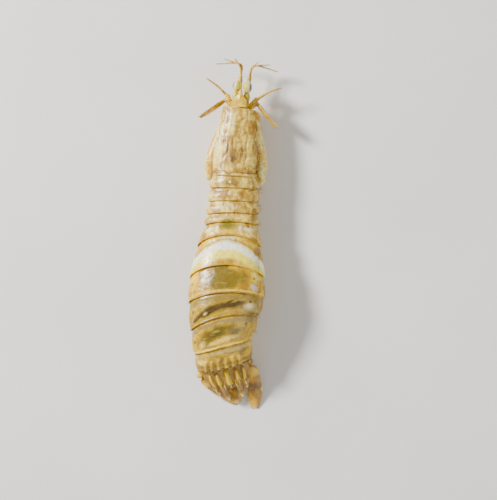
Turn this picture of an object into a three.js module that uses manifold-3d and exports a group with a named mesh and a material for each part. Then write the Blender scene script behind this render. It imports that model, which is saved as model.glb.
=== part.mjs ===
// A mantis shrimp at life size, standing on a flat floor, in millimetres.
// +Z is up, the head points to -Y and the animal's left side is +X. The origin is on the floor, under the
// middle of its box. The body is a row of hard plates round one axis, and limbs hang from the plates.
import * as THREE from "three";
import { mergeVertices } from "three/addons/utils/BufferGeometryUtils.js";
import Module from "manifold-3d";

const wasm = await Module();
wasm.setup();

// Driving dimensions

const GAP = 0.3; // clearance between neighbouring pieces
const STEP = 0.18; // how far a plate's rear edge stands proud of the next plate
const BULGE = 0.12; // how far a plate's sides swell between its edges
const SIDES = [["left", 1], ["right", -1]];

// The axis starts at the front edge of the carapace.
const AXIS_START = { x: -0.74, y: -20.0, z: 4.6, turn: -8, lean: 0, bow: 0, wide: 2.75, top: 2.1, deep: 1.3 };

// The plates from head to tail. length is along the axis, heading and climb say where the axis runs, turn and
// lean how the plate's rear edge stands, in degrees, and wide, top and deep are its half width, its height over
// the axis and its depth under it there. bow is how far its rear corners reach back past its middle. What a
// plate leaves out is 0.
const LEVEL = { climb: 0, turn: 0, lean: 0, bow: 0 };
const PLATES = {
  carapace: { length: 10.9, heading: -4.6, turn: -3, wide: 3.9, top: 2.75, deep: 1.5 },
  thorax_5: { length: 1.9, heading: -4, turn: -2, lean: 2, bow: 0.1, wide: 4, top: 2.45, deep: 1.5 },
  thorax_6: { length: 2.1, heading: -3, turn: -1, lean: 3, bow: 0.15, wide: 4.15, top: 2.5, deep: 1.5 },
  thorax_7: { length: 1.95, heading: -4, climb: 1, lean: 4, bow: 0.2, wide: 4.25, top: 2.55, deep: 1.5 },
  thorax_8: { length: 1.65, heading: -5.5, climb: 3, lean: 8, bow: 0.3, wide: 4.35, top: 2.6, deep: 1.5 },
  abdomen_1: { length: 2.8, heading: -6, climb: 6, lean: 20, bow: 1, wide: 5.2, top: 3, deep: 1.6 },
  abdomen_2: { length: 4.9, heading: -3.5, climb: 7, turn: 1, lean: 18, bow: 1.1, wide: 6.1, top: 3.6, deep: 1.8 },
  abdomen_3: { length: 4, heading: -1.5, climb: 3, turn: 4, lean: 11, bow: 0.8, wide: 6.15, top: 3.75, deep: 1.9 },
  abdomen_4: { length: 3.5, heading: -7, climb: -2, turn: 13, lean: 4, bow: 0.9, wide: 5.65, top: 3.5, deep: 1.8 },
  abdomen_5: { length: 4.25, heading: -4, climb: -10, turn: 15, lean: -12, bow: 0.2, wide: 4.95, top: 2.95, deep: 1.5 },
  abdomen_6: { length: 3.4, heading: 3, climb: -17, turn: 13, lean: -20, wide: 4.5, top: 2.2, deep: 1.1 },
};

// The carapace is a shield with rounded rear corners over a narrower trunk.
const SHIELD = { thick: 0.6, hem: 0.7, corner: 0.74, rearWide: 2.3, trunkWide: 2.75 };
const ROSTRUM = { long: 1.75, wide: 2.6, thick: 0.55, spine: 1.0 };
const HEAD = { long: 2.0, wide: 1.75, high: 2.5, rise: -0.35 };
const EYE = { apart: 0.95, reach: 1.35, long: 1.95, wide: 1.45, high: 1.7, rise: 0.96, stalk: 0.95, splay: 5 };
const ANTENNULE = { apart: 0.6, long: 3.3, thick: 0.85, lash: 0.5, lashLong: [3.2, 4.0, 4.6] };
const ANTENNA = { apart: 2.1, thick: 1.1, lash: 0.5, lashLong: 5.2 };
const SCALE = { long: 4.9, wide: 2.1, thick: 0.6, sweep: 42, root: 2.75, tilt: 0.16 };
const CLAW = { out: 4.05, meral: 10.3, wide: 1.0, high: 1.15, palm: 8.2, palmHigh: 0.75, heel: 0.72, dactyl: 6.2 };
const MAXILLIPED = { thick: 0.6, hand: 1.6 };
const LEG = { thick: 0.85, ankle: 0.5, hip: 1.9, knee: 3.7, foot: 3.9, kneeHigh: 2.1, stride: 1.0, sole: 0.12 };
const PLEOPOD = { out: 0.5, long: 3.3, wide: 1.9, thick: 0.55, droop: 38 };
const TELSON = { long: 3.75, wide: 3.85, waist: 3.45, thick: 1.0, dive: 25, turn: 16, tooth: 2.8, rise: 0.75 };
const UROPOD = { base: 1.6, exopod: 6.3, endopod: 4.5, wide: 1.6, thick: 0.6, under: 1.15, spines: 5 };

const SKIN = {
  shell: { color: 0xd0a458, roughness: 0.42 },
  belly: { color: 0xd9c08a, roughness: 0.55 },
  limb: { color: 0xc9a25c, roughness: 0.45 },
  tail: { color: 0xa87c24, roughness: 0.38 },
  stalk: { color: 0xb9b552, roughness: 0.4 },
  cornea: { color: 0x6d6a3c, roughness: 0.12 },
};

// Small helpers

const rad = THREE.MathUtils.degToRad;
const lerp = THREE.MathUtils.lerp;
const smooth = (x) => THREE.MathUtils.smoothstep(x, 0, 1);
const vec = (x, y, z) => new THREE.Vector3(x, y, z);
const curve = (...points) => new THREE.CatmullRomCurve3(points.map((p) => vec(...p)));

// A geometry as a solid. A shape that is mirrored for the other side comes out inside out, and is turned back.
function solid(geometry) {
  geometry.deleteAttribute("normal");
  geometry.deleteAttribute("uv");
  const merged = mergeVertices(geometry, 1e-5);
  const make = (triVerts) =>
    new wasm.Manifold(
      new wasm.Mesh({ numProp: 3, vertProperties: merged.attributes.position.array, triVerts }),
    );
  const faces = Uint32Array.from(merged.index.array);
  const made = make(faces);
  return made.volume() < 0 ? make(faces.reverse()) : made;
}

// Bends a cylinder to a shape. place(along, angle, out) gives the point that is so far along from 0 to 1, at so
// many radians round, and out from the middle of its section, 0 or 1.
function shaped(around, along, place) {
  const geometry = new THREE.CylinderGeometry(1, 1, 1, around, along);
  const p = geometry.attributes.position;
  for (let i = 0; i < p.count; i++) {
    const x = p.getX(i);
    const z = p.getZ(i);
    const step = Math.round((Math.atan2(x, z) / (2 * Math.PI)) * around + around) % around;
    const at = place(p.getY(i) + 0.5, (step / around) * 2 * Math.PI, Math.round(Math.hypot(x, z)));
    p.setXYZ(i, at.x, at.y, at.z);
  }
  return solid(geometry);
}

// A limb of round or flattened section along a path. half(t) gives its half width and half thickness, and flat
// the way that its width faces.
function limb(path, half, { around = 8, along = 8, flat = vec(0, 0, 1) } = {}) {
  return shaped(around, along, (t, angle, out) => {
    const ahead = path.getTangentAt(t);
    const side = vec().crossVectors(ahead, flat).normalize();
    const up = vec().crossVectors(side, ahead);
    const [w, h] = half(t);
    return path
      .getPointAt(t)
      .addScaledVector(side, out * w * Math.cos(angle))
      .addScaledVector(up, out * h * Math.sin(angle));
  });
}

// Half widths that swell to full at the place peak and narrow to the shares at root and tip.
function swell(w, h, root, tip, peak = 0.4) {
  return (t) => {
    const share = t < peak ? lerp(root, 1, smooth(t / peak)) : lerp(1, tip, smooth((t - peak) / (1 - peak)));
    return [w * share, h * share];
  };
}

function ellipsoid(at, [a, b, c], { around = 10, high = 7, heading = 0 } = {}) {
  const geometry = new THREE.SphereGeometry(1, around, high);
  geometry.scale(a, b, c).rotateZ(rad(heading)).translate(...at);
  return solid(geometry);
}

const join = (...solids) => wasm.Manifold.union(solids.flat());
const overFloor = (made) => made.trimByPlane([0, 0, 1], 0);

// A named mesh of the largest closed surface of a solid.
function mesh(name, made, skin, group) {
  const pieces = made.decompose().sort((a, b) => b.volume() - a.volume());
  const { vertProperties, triVerts } = pieces[0].getMesh();
  const geometry = new THREE.BufferGeometry();
  geometry.setAttribute("position", new THREE.BufferAttribute(vertProperties, 3));
  geometry.setIndex(new THREE.BufferAttribute(triVerts, 1));
  geometry.computeVertexNormals();
  const material = new THREE.MeshStandardMaterial({ ...SKIN[skin], metalness: 0 });
  const part = new THREE.Mesh(geometry, material);
  part.name = name;
  group.add(part);
}

// The body's axis

// Where the rear edge of each plate stands: its middle, the way to the animal's left, to the tail and up.
function station({ x, y, z, turn, lean, ...sizes }) {
  const at = vec(x, y, z);
  const left = vec(Math.cos(rad(turn)), Math.sin(rad(turn)), 0);
  const tail = vec(-Math.sin(rad(turn)), Math.cos(rad(turn)), 0);
  const up = vec(0, 0, Math.cos(rad(lean))).addScaledVector(tail, -Math.sin(rad(lean)));
  return { at, left, tail, up, turn, lean, ...sizes };
}

const STATIONS = { start: station(AXIS_START) };
let axisEnd = STATIONS.start.at;
for (const [name, sizes] of Object.entries(PLATES)) {
  const plate = { ...LEVEL, ...sizes };
  const { length, heading, climb } = plate;
  const run = length * Math.cos(rad(climb));
  const step = vec(-Math.sin(rad(heading)) * run, Math.cos(rad(heading)) * run, length * Math.sin(rad(climb)));
  axisEnd = axisEnd.clone().add(step);
  const { x, y, z } = axisEnd;
  STATIONS[name] = station({ ...plate, x, y, z });
}

// The frame part of the way from one station to the next, moved on by shift along the axis.
function between(front, rear, t, shift = 0) {
  const mixed = {};
  for (const key of ["turn", "lean", "bow", "wide", "top", "deep"]) mixed[key] = lerp(front[key], rear[key], t);
  const { x, y, z } = front.at.clone().lerp(rear.at, t).addScaledVector(front.tail, shift);
  return station({ ...mixed, x, y, z });
}

function point(frame, left, tail, up) {
  const at = frame.at.clone().addScaledVector(frame.left, left);
  return at.addScaledVector(frame.tail, tail).addScaledVector(frame.up, up);
}

// A section of the trunk: a dome over the axis and a narrower, flatter belly under it.
const ROUND = 2 / 2.3;
const BELLY = { wide: 0.84, round: 0.55 };
function section(frame, angle, out, { wide = frame.wide, top = frame.top, bow = 0 } = {}) {
  const c = Math.cos(angle);
  const s = Math.sin(angle);
  const power = (v, p) => Math.sign(v) * Math.abs(v) ** p;
  const over = s > -1e-9;
  const x = over ? wide * power(c, ROUND) : wide * BELLY.wide * power(c, BELLY.round);
  const z = over ? top * power(s, ROUND) : frame.deep * power(s, BELLY.round);
  return point(frame, out * x, bow * (out ? c * c : 0), out * z);
}

// One plate of the trunk, from just behind the plate before it to its own rear edge.
function plateSolid(front, rear, { around = 22, along = 4 } = {}) {
  return shaped(around, along, (t, angle, out) => {
    const frame = between(front, rear, t, lerp(GAP, 0, t));
    const proud = STEP * (1 - smooth(Math.min(1, t * 1.6)));
    const wide = frame.wide - proud + BULGE * Math.sin(Math.PI * t);
    return section(frame, angle, out, { wide, top: frame.top - proud, bow: frame.bow });
  });
}

// The head, carapace and thorax

const carapaceFrame = (t) => between(STATIONS.start, STATIONS.carapace, t);
const shieldWide = (t) => carapaceFrame(t).wide * (1 + 0.1 * Math.sin(Math.PI * Math.min(1, t * 1.1)));

// How far down its side the shield reaches: to the hem along the flanks, and less towards the rear corners.
function hemAngle(t) {
  const frame = carapaceFrame(t);
  const flank = Math.asin(SHIELD.hem / frame.top);
  const past = Math.max(0, (t - SHIELD.corner) / (1 - SHIELD.corner));
  const rear = Math.acos(SHIELD.rearWide / shieldWide(1));
  return lerp(flank, rear, 1 - Math.sqrt(1 - past * past));
}

function carapaceSolid() {
  const around = 28;
  return shaped(around, 12, (t, angle, out) => {
    const frame = carapaceFrame(t);
    const outer = angle <= Math.PI;
    const share = outer ? angle / Math.PI : 2 - angle / Math.PI;
    const low = hemAngle(t);
    const at = lerp(low, Math.PI - low, share);
    const thick = outer ? 0 : SHIELD.thick;
    const wide = shieldWide(t) - thick;
    const middle = section(frame, Math.PI / 2, 1, { top: frame.top - SHIELD.thick / 2 });
    return out ? section(frame, at, 1, { wide, top: frame.top - thick }) : middle;
  });
}

function cephalothoraxSolid() {
  const inside = SHIELD.thick + GAP;
  return shaped(16, 5, (t, angle, out) => {
    const frame = carapaceFrame(lerp(0.05, 0.985, t));
    const wide = Math.min(SHIELD.trunkWide, frame.wide - inside - 0.2);
    return section(frame, angle, out, { wide, top: frame.top - inside - 0.1 });
  });
}

function rostralPlateSolid() {
  const { long, wide, thick, spine } = ROSTRUM;
  const frame = STATIONS.start;
  const shoulder = wide * 0.42;
  const half = (t) => (t < 0.45 ? lerp(wide / 2, shoulder, t / 0.45) : lerp(shoulder, 0.16, (t - 0.45) / 0.55));
  return shaped(10, 7, (t, angle, out) => {
    const x = half(t) * (t < 0.46 ? 1 : 1 - 0.35 * Math.sin((Math.PI * (t - 0.45)) / 0.55));
    const lift = frame.top - thick / 2 + 0.12 * Math.sin(Math.PI * t);
    const high = (thick / 2) * lerp(1, 0.55, t);
    const z = lift + out * high * Math.sin(angle);
    return point(frame, out * x * Math.cos(angle), -GAP - t * (long + spine), z);
  });
}

function headSolid() {
  const { long, wide, high, rise } = HEAD;
  const frame = STATIONS.start;
  return shaped(14, 5, (t, angle, out) => {
    const share = lerp(1, 0.62, smooth(t));
    const z = rise + (high / 2) * share * out * Math.sin(angle) - 0.15 * t;
    return point(frame, wide * share * out * Math.cos(angle), -t * long + 0.25, z);
  });
}

function mouthSolid() {
  const frame = STATIONS.start;
  const at = (left, tail, up) => point(frame, left, tail, up).toArray();
  const labrum = ellipsoid(at(0, 0.7, -2.35), [0.8, 0.95, 0.6]);
  const jaws = SIDES.map(([, side]) => ellipsoid(at(side * 0.75, 1.5, -2.3), [0.6, 0.95, 0.55]));
  return join(labrum, jaws);
}

const headGroup = new THREE.Group();
const thoraxGroup = new THREE.Group();
mesh("carapace", carapaceSolid(), "shell", thoraxGroup);
mesh("cephalothorax", cephalothoraxSolid(), "belly", thoraxGroup);
mesh("rostral_plate", rostralPlateSolid(), "shell", headGroup);
mesh("head", headSolid(), "limb", headGroup);
mesh("mouthparts", mouthSolid(), "belly", headGroup);

const names = Object.keys(PLATES);
names.slice(1, 5).forEach((name, i) => {
  const front = STATIONS[names[i]];
  mesh(name, plateSolid(front, STATIONS[name], { along: 3 }), "shell", thoraxGroup);
});

// Eyes and feelers, each in the frame of the head

const faceGroup = new THREE.Group();
faceGroup.position.copy(STATIONS.start.at);
faceGroup.rotation.z = rad(STATIONS.start.turn);
headGroup.add(faceGroup);

function eye(name, side) {
  const { apart, reach, long, wide, high, rise, stalk, splay } = EYE;
  const group = new THREE.Group();
  group.position.set(side * apart, -reach, rise);
  group.rotation.z = -side * rad(splay);
  const root = curve([0, 0, 0], [0, -stalk / 2, 0.02], [0, -stalk, 0.05]);
  const stem = limb(root, () => [wide * 0.36, high * 0.34], { along: 2, around: 10 });
  mesh(`eyestalk_${name}`, stem, "stalk", group);
  const globe = ellipsoid([side * 0.08, -stalk - GAP - long / 2 + 0.12, 0.05], [wide / 2, long / 2, high / 2], {
    around: 14,
    high: 10,
  });
  mesh(`eye_${name}`, globe.trimByPlane([0, -1, 0], stalk + GAP), "cornea", group);
  faceGroup.add(group);
}

function antennule(name, side) {
  const { apart, long, thick, lash, lashLong } = ANTENNULE;
  const group = new THREE.Group();
  group.position.set(side * apart, -HEAD.long - 0.1, -0.75);
  const stem = curve([0, 0, 0], [side * 0.05, -long / 2, 0.1], [side * 0.15, -long, 0.2]);
  const half = (t) => [thick * lerp(0.5, 0.36, t), thick * lerp(0.5, 0.36, t)];
  const pieces = [limb(stem, half, { around: 8, along: 4 })];
  lashLong.forEach((reach, i) => {
    const spread = rad([22, 48, 70][i]);
    const lift = [0.9, 0.2, -0.5][i];
    const tip = [side * (0.15 + reach * Math.sin(spread)), -long - reach * Math.cos(spread) * 0.8, 0.2 + lift];
    const bend = [side * 0.35, -long - reach * 0.35, 0.2 + lift * 0.4];
    const path = curve([side * 0.13, 0.5 - long, 0.18], bend, tip);
    pieces.push(limb(path, swell(lash / 2, lash / 2, 1, 0.6, 0.01), { around: 5, along: 6 }));
  });
  mesh(`antennule_${name}`, join(pieces), "limb", group);
  faceGroup.add(group);
}

function antenna(name, side) {
  const { apart, thick, lash, lashLong } = ANTENNA;
  const group = new THREE.Group();
  group.position.set(side * apart, -0.9, -0.1);
  const stem = curve([0, 0, 0], [side * 0.15, -0.6, -0.05], [side * 0.35, -1.2, -0.1]);
  const base = limb(stem, swell(thick / 2, thick / 2, 0.75, 0.7), { along: 3 });
  const path = curve(
    [side * 0.25, -0.8, -0.1],
    [side * lashLong * 0.4, -lashLong * 0.42, 0.35],
    [side * lashLong * 0.78, -lashLong * 0.62, 0.2],
  );
  const flagellum = limb(path, swell(lash * 0.6, lash * 0.6, 1, 0.5, 0.01), { around: 6, along: 8 });
  mesh(`antenna_${name}`, join(base, flagellum), "limb", group);

  const scale = new THREE.Group();
  scale.position.set(side * SCALE.root, -1.0, -0.25);
  scale.rotation.z = side * rad(SCALE.sweep);
  const { long, wide, thick: blade } = SCALE;
  const outline = (t) => [(wide / 2) * Math.sin(Math.PI * lerp(0.13, 0.95, t ** 0.85)) ** 0.7, blade / 2];
  const spine = curve([side * GAP, 0, 0], [side * long * 0.5, 0.1, 0.05], [side * long, 0, -0.1]);
  const leaf = limb(spine, outline, { around: 10, along: 9, flat: vec(0, 1, SCALE.tilt) });
  mesh(`antennal_scale_${name}`, leaf, "limb", scale);
  faceGroup.add(group, scale);
}

for (const [name, side] of SIDES) {
  eye(name, side);
  antennule(name, side);
  antenna(name, side);
}

// Claws, maxillipeds and walking legs, each in the frame of the trunk over it

function trunkGroup(frame) {
  const group = new THREE.Group();
  group.position.copy(frame.at);
  group.rotation.z = rad(frame.turn);
  thoraxGroup.add(group);
  return group;
}

const clawGroup = trunkGroup(carapaceFrame(0.55));

function claw(name, side) {
  const { out, meral, wide, high, palm, palmHigh, heel, dactyl } = CLAW;
  const rear = meral * 0.5 + 0.75;
  const front = rear - meral;
  const merusPath = curve(
    [side * (out + 0.3), rear, -0.95],
    [side * out, lerp(rear, front, 0.35), -0.72],
    [side * (out - 1.6), front, -0.55],
  );
  const ischium = curve(
    [side * (SHIELD.trunkWide + GAP + 0.45), rear - 2.6, -1.3],
    [side * (out - 0.3), rear - 0.9, -1.1],
  );
  const merus = join(
    limb(merusPath, swell(wide, high, 0.45, 0.58, 0.32), { around: 10, along: 9 }),
    limb(ischium, () => [0.5, 0.5], { around: 8, along: 2 }),
  );
  mesh(`claw_merus_${name}`, merus, "limb", clawGroup);

  const low = -high - palmHigh - 1.05;
  const palmPath = curve(
    [side * (out - 1.6), front + 0.3, low],
    [side * (out - 0.9), front + palm / 2, low - 0.1],
    [side * (out - 0.45), front + palm, low],
  );
  const wrist = curve(
    [side * (out - 1.7), front - 0.95, -0.8],
    [side * (out - 1.7), front - 0.75, low + 0.7],
    [side * (out - 1.6), front + 0.7, low + 0.05],
  );
  const propodus = join(
    limb(palmPath, swell(wide * 0.62, palmHigh, 0.75, 0.6, 0.3), { around: 8, along: 7 }),
    limb(wrist, () => [0.55, 0.55], { around: 8, along: 4 }),
  );
  mesh(`claw_propodus_${name}`, propodus, "limb", clawGroup);

  const inner = out - 0.45 - wide * 0.62 - GAP - 0.45;
  const knuckle = front + palm + GAP + 0.35 + heel;
  const bulb = ellipsoid([side * (out - 0.55), knuckle, low], [heel, heel, heel]);
  const dactylPath = curve(
    [side * (out - 0.6), knuckle, low],
    [side * inner, front + palm - 0.6, low - 0.1],
    [side * (inner - 0.35), knuckle - dactyl, low - 0.1],
  );
  const blade = limb(dactylPath, (t) => [lerp(0.45, 0.16, t), lerp(0.5, 0.2, t)], { around: 7, along: 8 });
  mesh(`claw_dactyl_${name}`, join(bulb, blade), "limb", clawGroup);
}

function maxilliped(name, side, order) {
  const { thick, hand } = MAXILLIPED;
  const y = lerp(-1.4, 3.4, order / 2);
  const out = 0.75 + 0.06 * order;
  const path = curve(
    [side * out, y, -1.65 - GAP],
    [side * (out + 0.6), y - 0.4, -2.4],
    [side * (out + 0.1), y - 1.0, -3.1],
  );
  const arm = limb(path, swell(thick / 2, thick / 2, 0.95, 0.8), { around: 7, along: 5 });
  const palm = ellipsoid([side * (out - 0.1), y - 1.45, -3.2], [0.45, hand / 2, 0.42], { around: 9, high: 6 });
  mesh(`maxilliped_${order + 3}_${name}`, join(arm, palm), "limb", clawGroup);
}

function walkingLeg(name, side, order, frame, group) {
  const { thick, ankle, hip, knee, foot, kneeHigh, stride, sole } = LEG;
  const ground = -frame.at.z;
  const reach = (order - 2) * stride;
  const y = -0.9;
  const path = curve(
    [side * hip, y, -frame.deep - GAP - thick * 0.4],
    [side * (hip + 0.45), y, -frame.deep - GAP - thick * 0.9],
    [side * knee, y + reach * 0.6, ground + kneeHigh],
    [side * (foot - 0.05), y + reach * 0.9, ground + kneeHigh * 0.45],
    [side * foot, y + reach, ground - sole],
  );
  const leg = limb(path, (t) => [lerp(thick, ankle, smooth(t)) / 2, lerp(thick, ankle, smooth(t)) / 2], {
    around: 8,
    along: 9,
    flat: vec(0, 1, 0),
  });
  const branch = curve(
    [side * (hip + 0.7), y + 0.1, -frame.deep - 0.9],
    [side * (hip + 1.1), y + 0.75, -frame.deep - 1.5],
    [side * (hip + 1.2), y + 1.0, -frame.deep - 2.1],
  );
  const exopod = limb(branch, swell(0.3, 0.3, 0.8, 0.6), { around: 6, along: 4, flat: vec(0, 1, 0) });
  const made = join(leg, exopod).trimByPlane([0, 0, 1], ground);
  mesh(`walking_leg_${order}_${name}`, made, "limb", group);
}

for (const [name, side] of SIDES) {
  claw(name, side);
  for (let order = 0; order < 3; order++) maxilliped(name, side, order);
}
for (const order of [1, 2, 3]) {
  const frame = STATIONS[names[order + 1]];
  const group = trunkGroup(frame);
  for (const [name, side] of SIDES) walkingLeg(name, side, order, frame, group);
}

// The abdomen, its swimming legs and the tail fan

const abdomenGroup = new THREE.Group();

// The last plate carries six bosses that end in short spines.
function lastPlateSolid(front, rear) {
  const bosses = [0.62, 1.75, 2.75].flatMap((out) =>
    SIDES.map(([, side]) => {
      const drop = rear.top * (1 - Math.sqrt(1 - (out / rear.wide) ** 2));
      const at = point(rear, side * out, -0.9, rear.top - drop - 0.25);
      const boss = ellipsoid(at.toArray(), [0.42, 0.95, 0.5], { around: 8, high: 6, heading: rear.turn });
      const spine = curve(
        point(rear, side * out, -0.5, rear.top - drop - 0.2).toArray(),
        point(rear, side * out, 0.15, rear.top - drop + 0.1).toArray(),
      );
      return join(boss, limb(spine, (t) => [lerp(0.3, 0.12, t), lerp(0.3, 0.12, t)], { around: 6, along: 2 }));
    }),
  );
  return join(plateSolid(front, rear, { along: 3 }), bosses);
}

function pleopod(name, side, order, front, rear) {
  const { out, long, wide, thick, droop } = PLEOPOD;
  const frame = between(front, rear, 0.35);
  const group = new THREE.Group();
  group.position.copy(point(frame, side * out * frame.wide, 0, -frame.deep - GAP - 0.3));
  group.rotation.set(-rad(droop - frame.lean * 0.4), 0, rad(frame.turn));
  const size = frame.wide / STATIONS.abdomen_3.wide;
  const root = curve([0, -0.25, 0.12], [0, 0.35, -0.15], [0, 1.1, -0.3]);
  const stem = limb(root, () => [0.4, 0.3], { around: 6, along: 3 });
  const leaf = (left, length, width, turn) => {
    const path = curve(
      [left * 0.2, 0.5, -0.3],
      [left * 0.6, 0.5 + length / 2, -0.3],
      [left * turn, 0.5 + length, -0.15],
    );
    const outline = (t) => [(width / 2) * Math.sin(Math.PI * lerp(0.16, 0.93, t)) ** 0.6, thick / 2];
    return limb(path, outline, { around: 6, along: 5 });
  };
  const reach = long * size - 0.5;
  const outer = leaf(side, reach, wide * size, 1.1);
  const inner = leaf(-side * 0.9, reach * 0.9, wide * size * 0.85, 0.9);
  const made = join(stem, outer, inner);
  mesh(`pleopod_${order}_${name}`, made, "belly", group);
  abdomenGroup.add(group);
}

names.slice(5).forEach((name, i) => {
  const front = STATIONS[names[i + 4]];
  const rear = STATIONS[name];
  const order = i + 1;
  const made = order < 6 ? plateSolid(front, rear) : lastPlateSolid(front, rear);
  mesh(name, made, "shell", abdomenGroup);
  if (order < 6) for (const [side, sign] of SIDES) pleopod(side, sign, order, front, rear);
});

// The tail fan hangs from the rear edge of the last plate and dives to the floor.
const tailFrame = (() => {
  const { at, left, tail } = station({ ...STATIONS.abdomen_6, ...STATIONS.abdomen_6.at, turn: TELSON.turn });
  const dive = rad(TELSON.dive);
  const back = tail.clone().multiplyScalar(Math.cos(dive)).add(vec(0, 0, -Math.sin(dive)));
  return { at: at.clone().add(vec(0, 0, TELSON.rise)), left, tail: back, up: vec().crossVectors(left, back) };
})();
const tailPoint = (left, tail, up) => point(tailFrame, left, tail, up);
const tailCurve = (...points) => new THREE.CatmullRomCurve3(points.map((p) => tailPoint(...p)));
const tailLimb = (path, half, options) => limb(path, half, { flat: tailFrame.up, ...options });

function telsonSolid() {
  const { long, wide, waist, thick, tooth } = TELSON;
  const outline = (t) => {
    const flare = lerp(waist, wide, Math.sin(Math.PI * Math.min(1, t * 1.25)) ** 0.8);
    return flare * (1 - 0.42 * smooth((t - 0.45) / 0.55));
  };
  const disc = shaped(18, 6, (t, angle, out) => {
    const high = (thick / 2) * lerp(1, 0.7, t);
    const x = outline(t) * Math.sign(Math.cos(angle)) * Math.abs(Math.cos(angle)) ** 0.8;
    return tailPoint(out * x, GAP + 0.3 + t * long, out * high * Math.sin(angle));
  });
  const ridge = (left, from, to, w, h, lift = 0.3) =>
    tailLimb(
      tailCurve([left, from, lift], [left, (from + to) / 2, lift + 0.12], [left * 0.97, to, lift - 0.1]),
      swell(w, h, 0.6, 0.6, 0.55),
      { around: 8, along: 4 },
    );
  const spike = (left, from, to, w) =>
    tailLimb(
      tailCurve([left, from, 0], [left * 0.98, (from + to) / 2, 0.05], [left * 0.88, to, -0.08]),
      (t) => [lerp(w, 0.14, t ** 2.5), lerp(w * 0.8, 0.14, t ** 2.5)],
      { around: 7, along: 4 },
    );
  const ridges = [ridge(0, 0.9, 3.95, 0.9, 0.66)];
  const teeth = [];
  for (const [, side] of SIDES) {
    ridges.push(ridge(side * 1.75, 0.9, 3.5, 0.72, 0.58), ridge(side * 2.95, 0.9, 4.3, 0.58, 0.55, 0.15));
    teeth.push(
      spike(side * 1.25, long - 0.9, long + tooth, 0.66),
      spike(side * 2.6, long - 1, long + tooth * 0.5, 0.52),
      spike(side * 3.25, long - 1.9, long + tooth * 0.1, 0.36),
    );
  }
  return join(disc, ridges, teeth);
}

// How each side's uropod is folded: how far out its root and its tip lie, how far its middle stands out from a
// straight line, and its share of full length.
const FOLD = {
  left: { root: 4.25, tip: 0.2, bend: 0, reach: 0.95 },
  right: { root: 3.85, tip: 3.0, bend: 0.35, reach: 1.2 },
};

function uropod(name, side) {
  const { base, exopod, endopod, wide, thick, under, spines } = UROPOD;
  const { root, tip, bend, reach } = FOLD[name];
  const stem = tailLimb(
    tailCurve(
      [side * root, GAP + 0.7, -under + 0.35],
      [side * (root + 0.1), base * 0.75, -under + 0.1],
      [side * root, base, -under],
    ),
    swell(0.66, 0.6, 0.9, 0.8),
    { around: 8, along: 3 },
  );
  const prongs = [
    [0.45, 0.98, 1.35, 3.7],
    [-0.1, 0.4, 0.7, 2.6],
  ].map(([start, halfway, end, reaches]) =>
    tailLimb(
      tailCurve(
        [side * (root - start), 1, -under],
        [side * (root - halfway), lerp(0.8, reaches, 0.5), -under - 0.5],
        [side * (root - end), reaches, -under - 0.6],
      ),
      (t) => [lerp(0.25, 0.14, t), lerp(0.26, 0.14, t)],
      { around: 6, along: 3 },
    ),
  );
  mesh(`uropod_base_${name}`, overFloor(join(stem, prongs)).simplify(0.02), "tail", abdomenGroup);

  // A blade from the base down to a tip that stands so high over the floor.
  const blade = (fromLeft, toLeft, from, length, w, height) => {
    const first = tailPoint(side * fromLeft, from, -under);
    const last = tailPoint(side * toLeft, from + length, -under).setZ(height);
    const middle = first.clone().lerp(last, 0.5).addScaledVector(tailFrame.left, side * bend);
    const half = (t) => [(w / 2) * Math.sin(Math.PI * lerp(0.2, 0.96, t)) ** 0.6, thick / 2];
    const path = new THREE.CatmullRomCurve3([first, middle, last]);
    return { path, solid: tailLimb(path, half, { around: 8, along: 7 }) };
  };
  const from = base + GAP + 0.25;
  const outer = blade(root + 0.15, tip, from, exopod * reach, wide, thick * 0.35);
  const fringe = Array.from({ length: spines }, (_, i) => {
    const edge = outer.path.getPointAt(lerp(0.24, 0.56, i / (spines - 1)));
    const to = (left, tail) => point({ ...tailFrame, at: edge }, side * left, tail, 0);
    const spine = new THREE.LineCurve3(to(wide * 0.3, -0.1), to(wide * 0.58, 0.5));
    return tailLimb(spine, (t) => [lerp(0.28, 0.1, t), lerp(0.26, 0.1, t)], { around: 5, along: 1 });
  });
  mesh(`uropod_exopod_${name}`, overFloor(join(outer.solid, fringe)), "tail", abdomenGroup);
  const shift = wide * 0.9 + GAP + 0.45;
  const innerTip = Math.max(tip - shift, -0.55);
  const inner = blade(root + 0.25 - shift, innerTip, from + 0.25, endopod * reach, wide * 0.8, thick * 1.6);
  mesh(`uropod_endopod_${name}`, overFloor(inner.solid), "tail", abdomenGroup);
}

mesh("telson", overFloor(telsonSolid()), "tail", abdomenGroup);
for (const [name, side] of SIDES) uropod(name, side);

const mantisShrimp = new THREE.Group();
mantisShrimp.add(headGroup, thoraxGroup, abdomenGroup);
export default mantisShrimp;
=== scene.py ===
"""Looks of the life-size mantis shrimp model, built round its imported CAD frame.

Lengths in the classes are in millimetres, as in the CAD source, and meshes are made in metres.
"""

import logging
import math
from collections.abc import Callable, Sequence
from dataclasses import dataclass, field
from enum import Enum

import bpy
import numpy as np
from mathutils import Matrix, Vector


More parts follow.
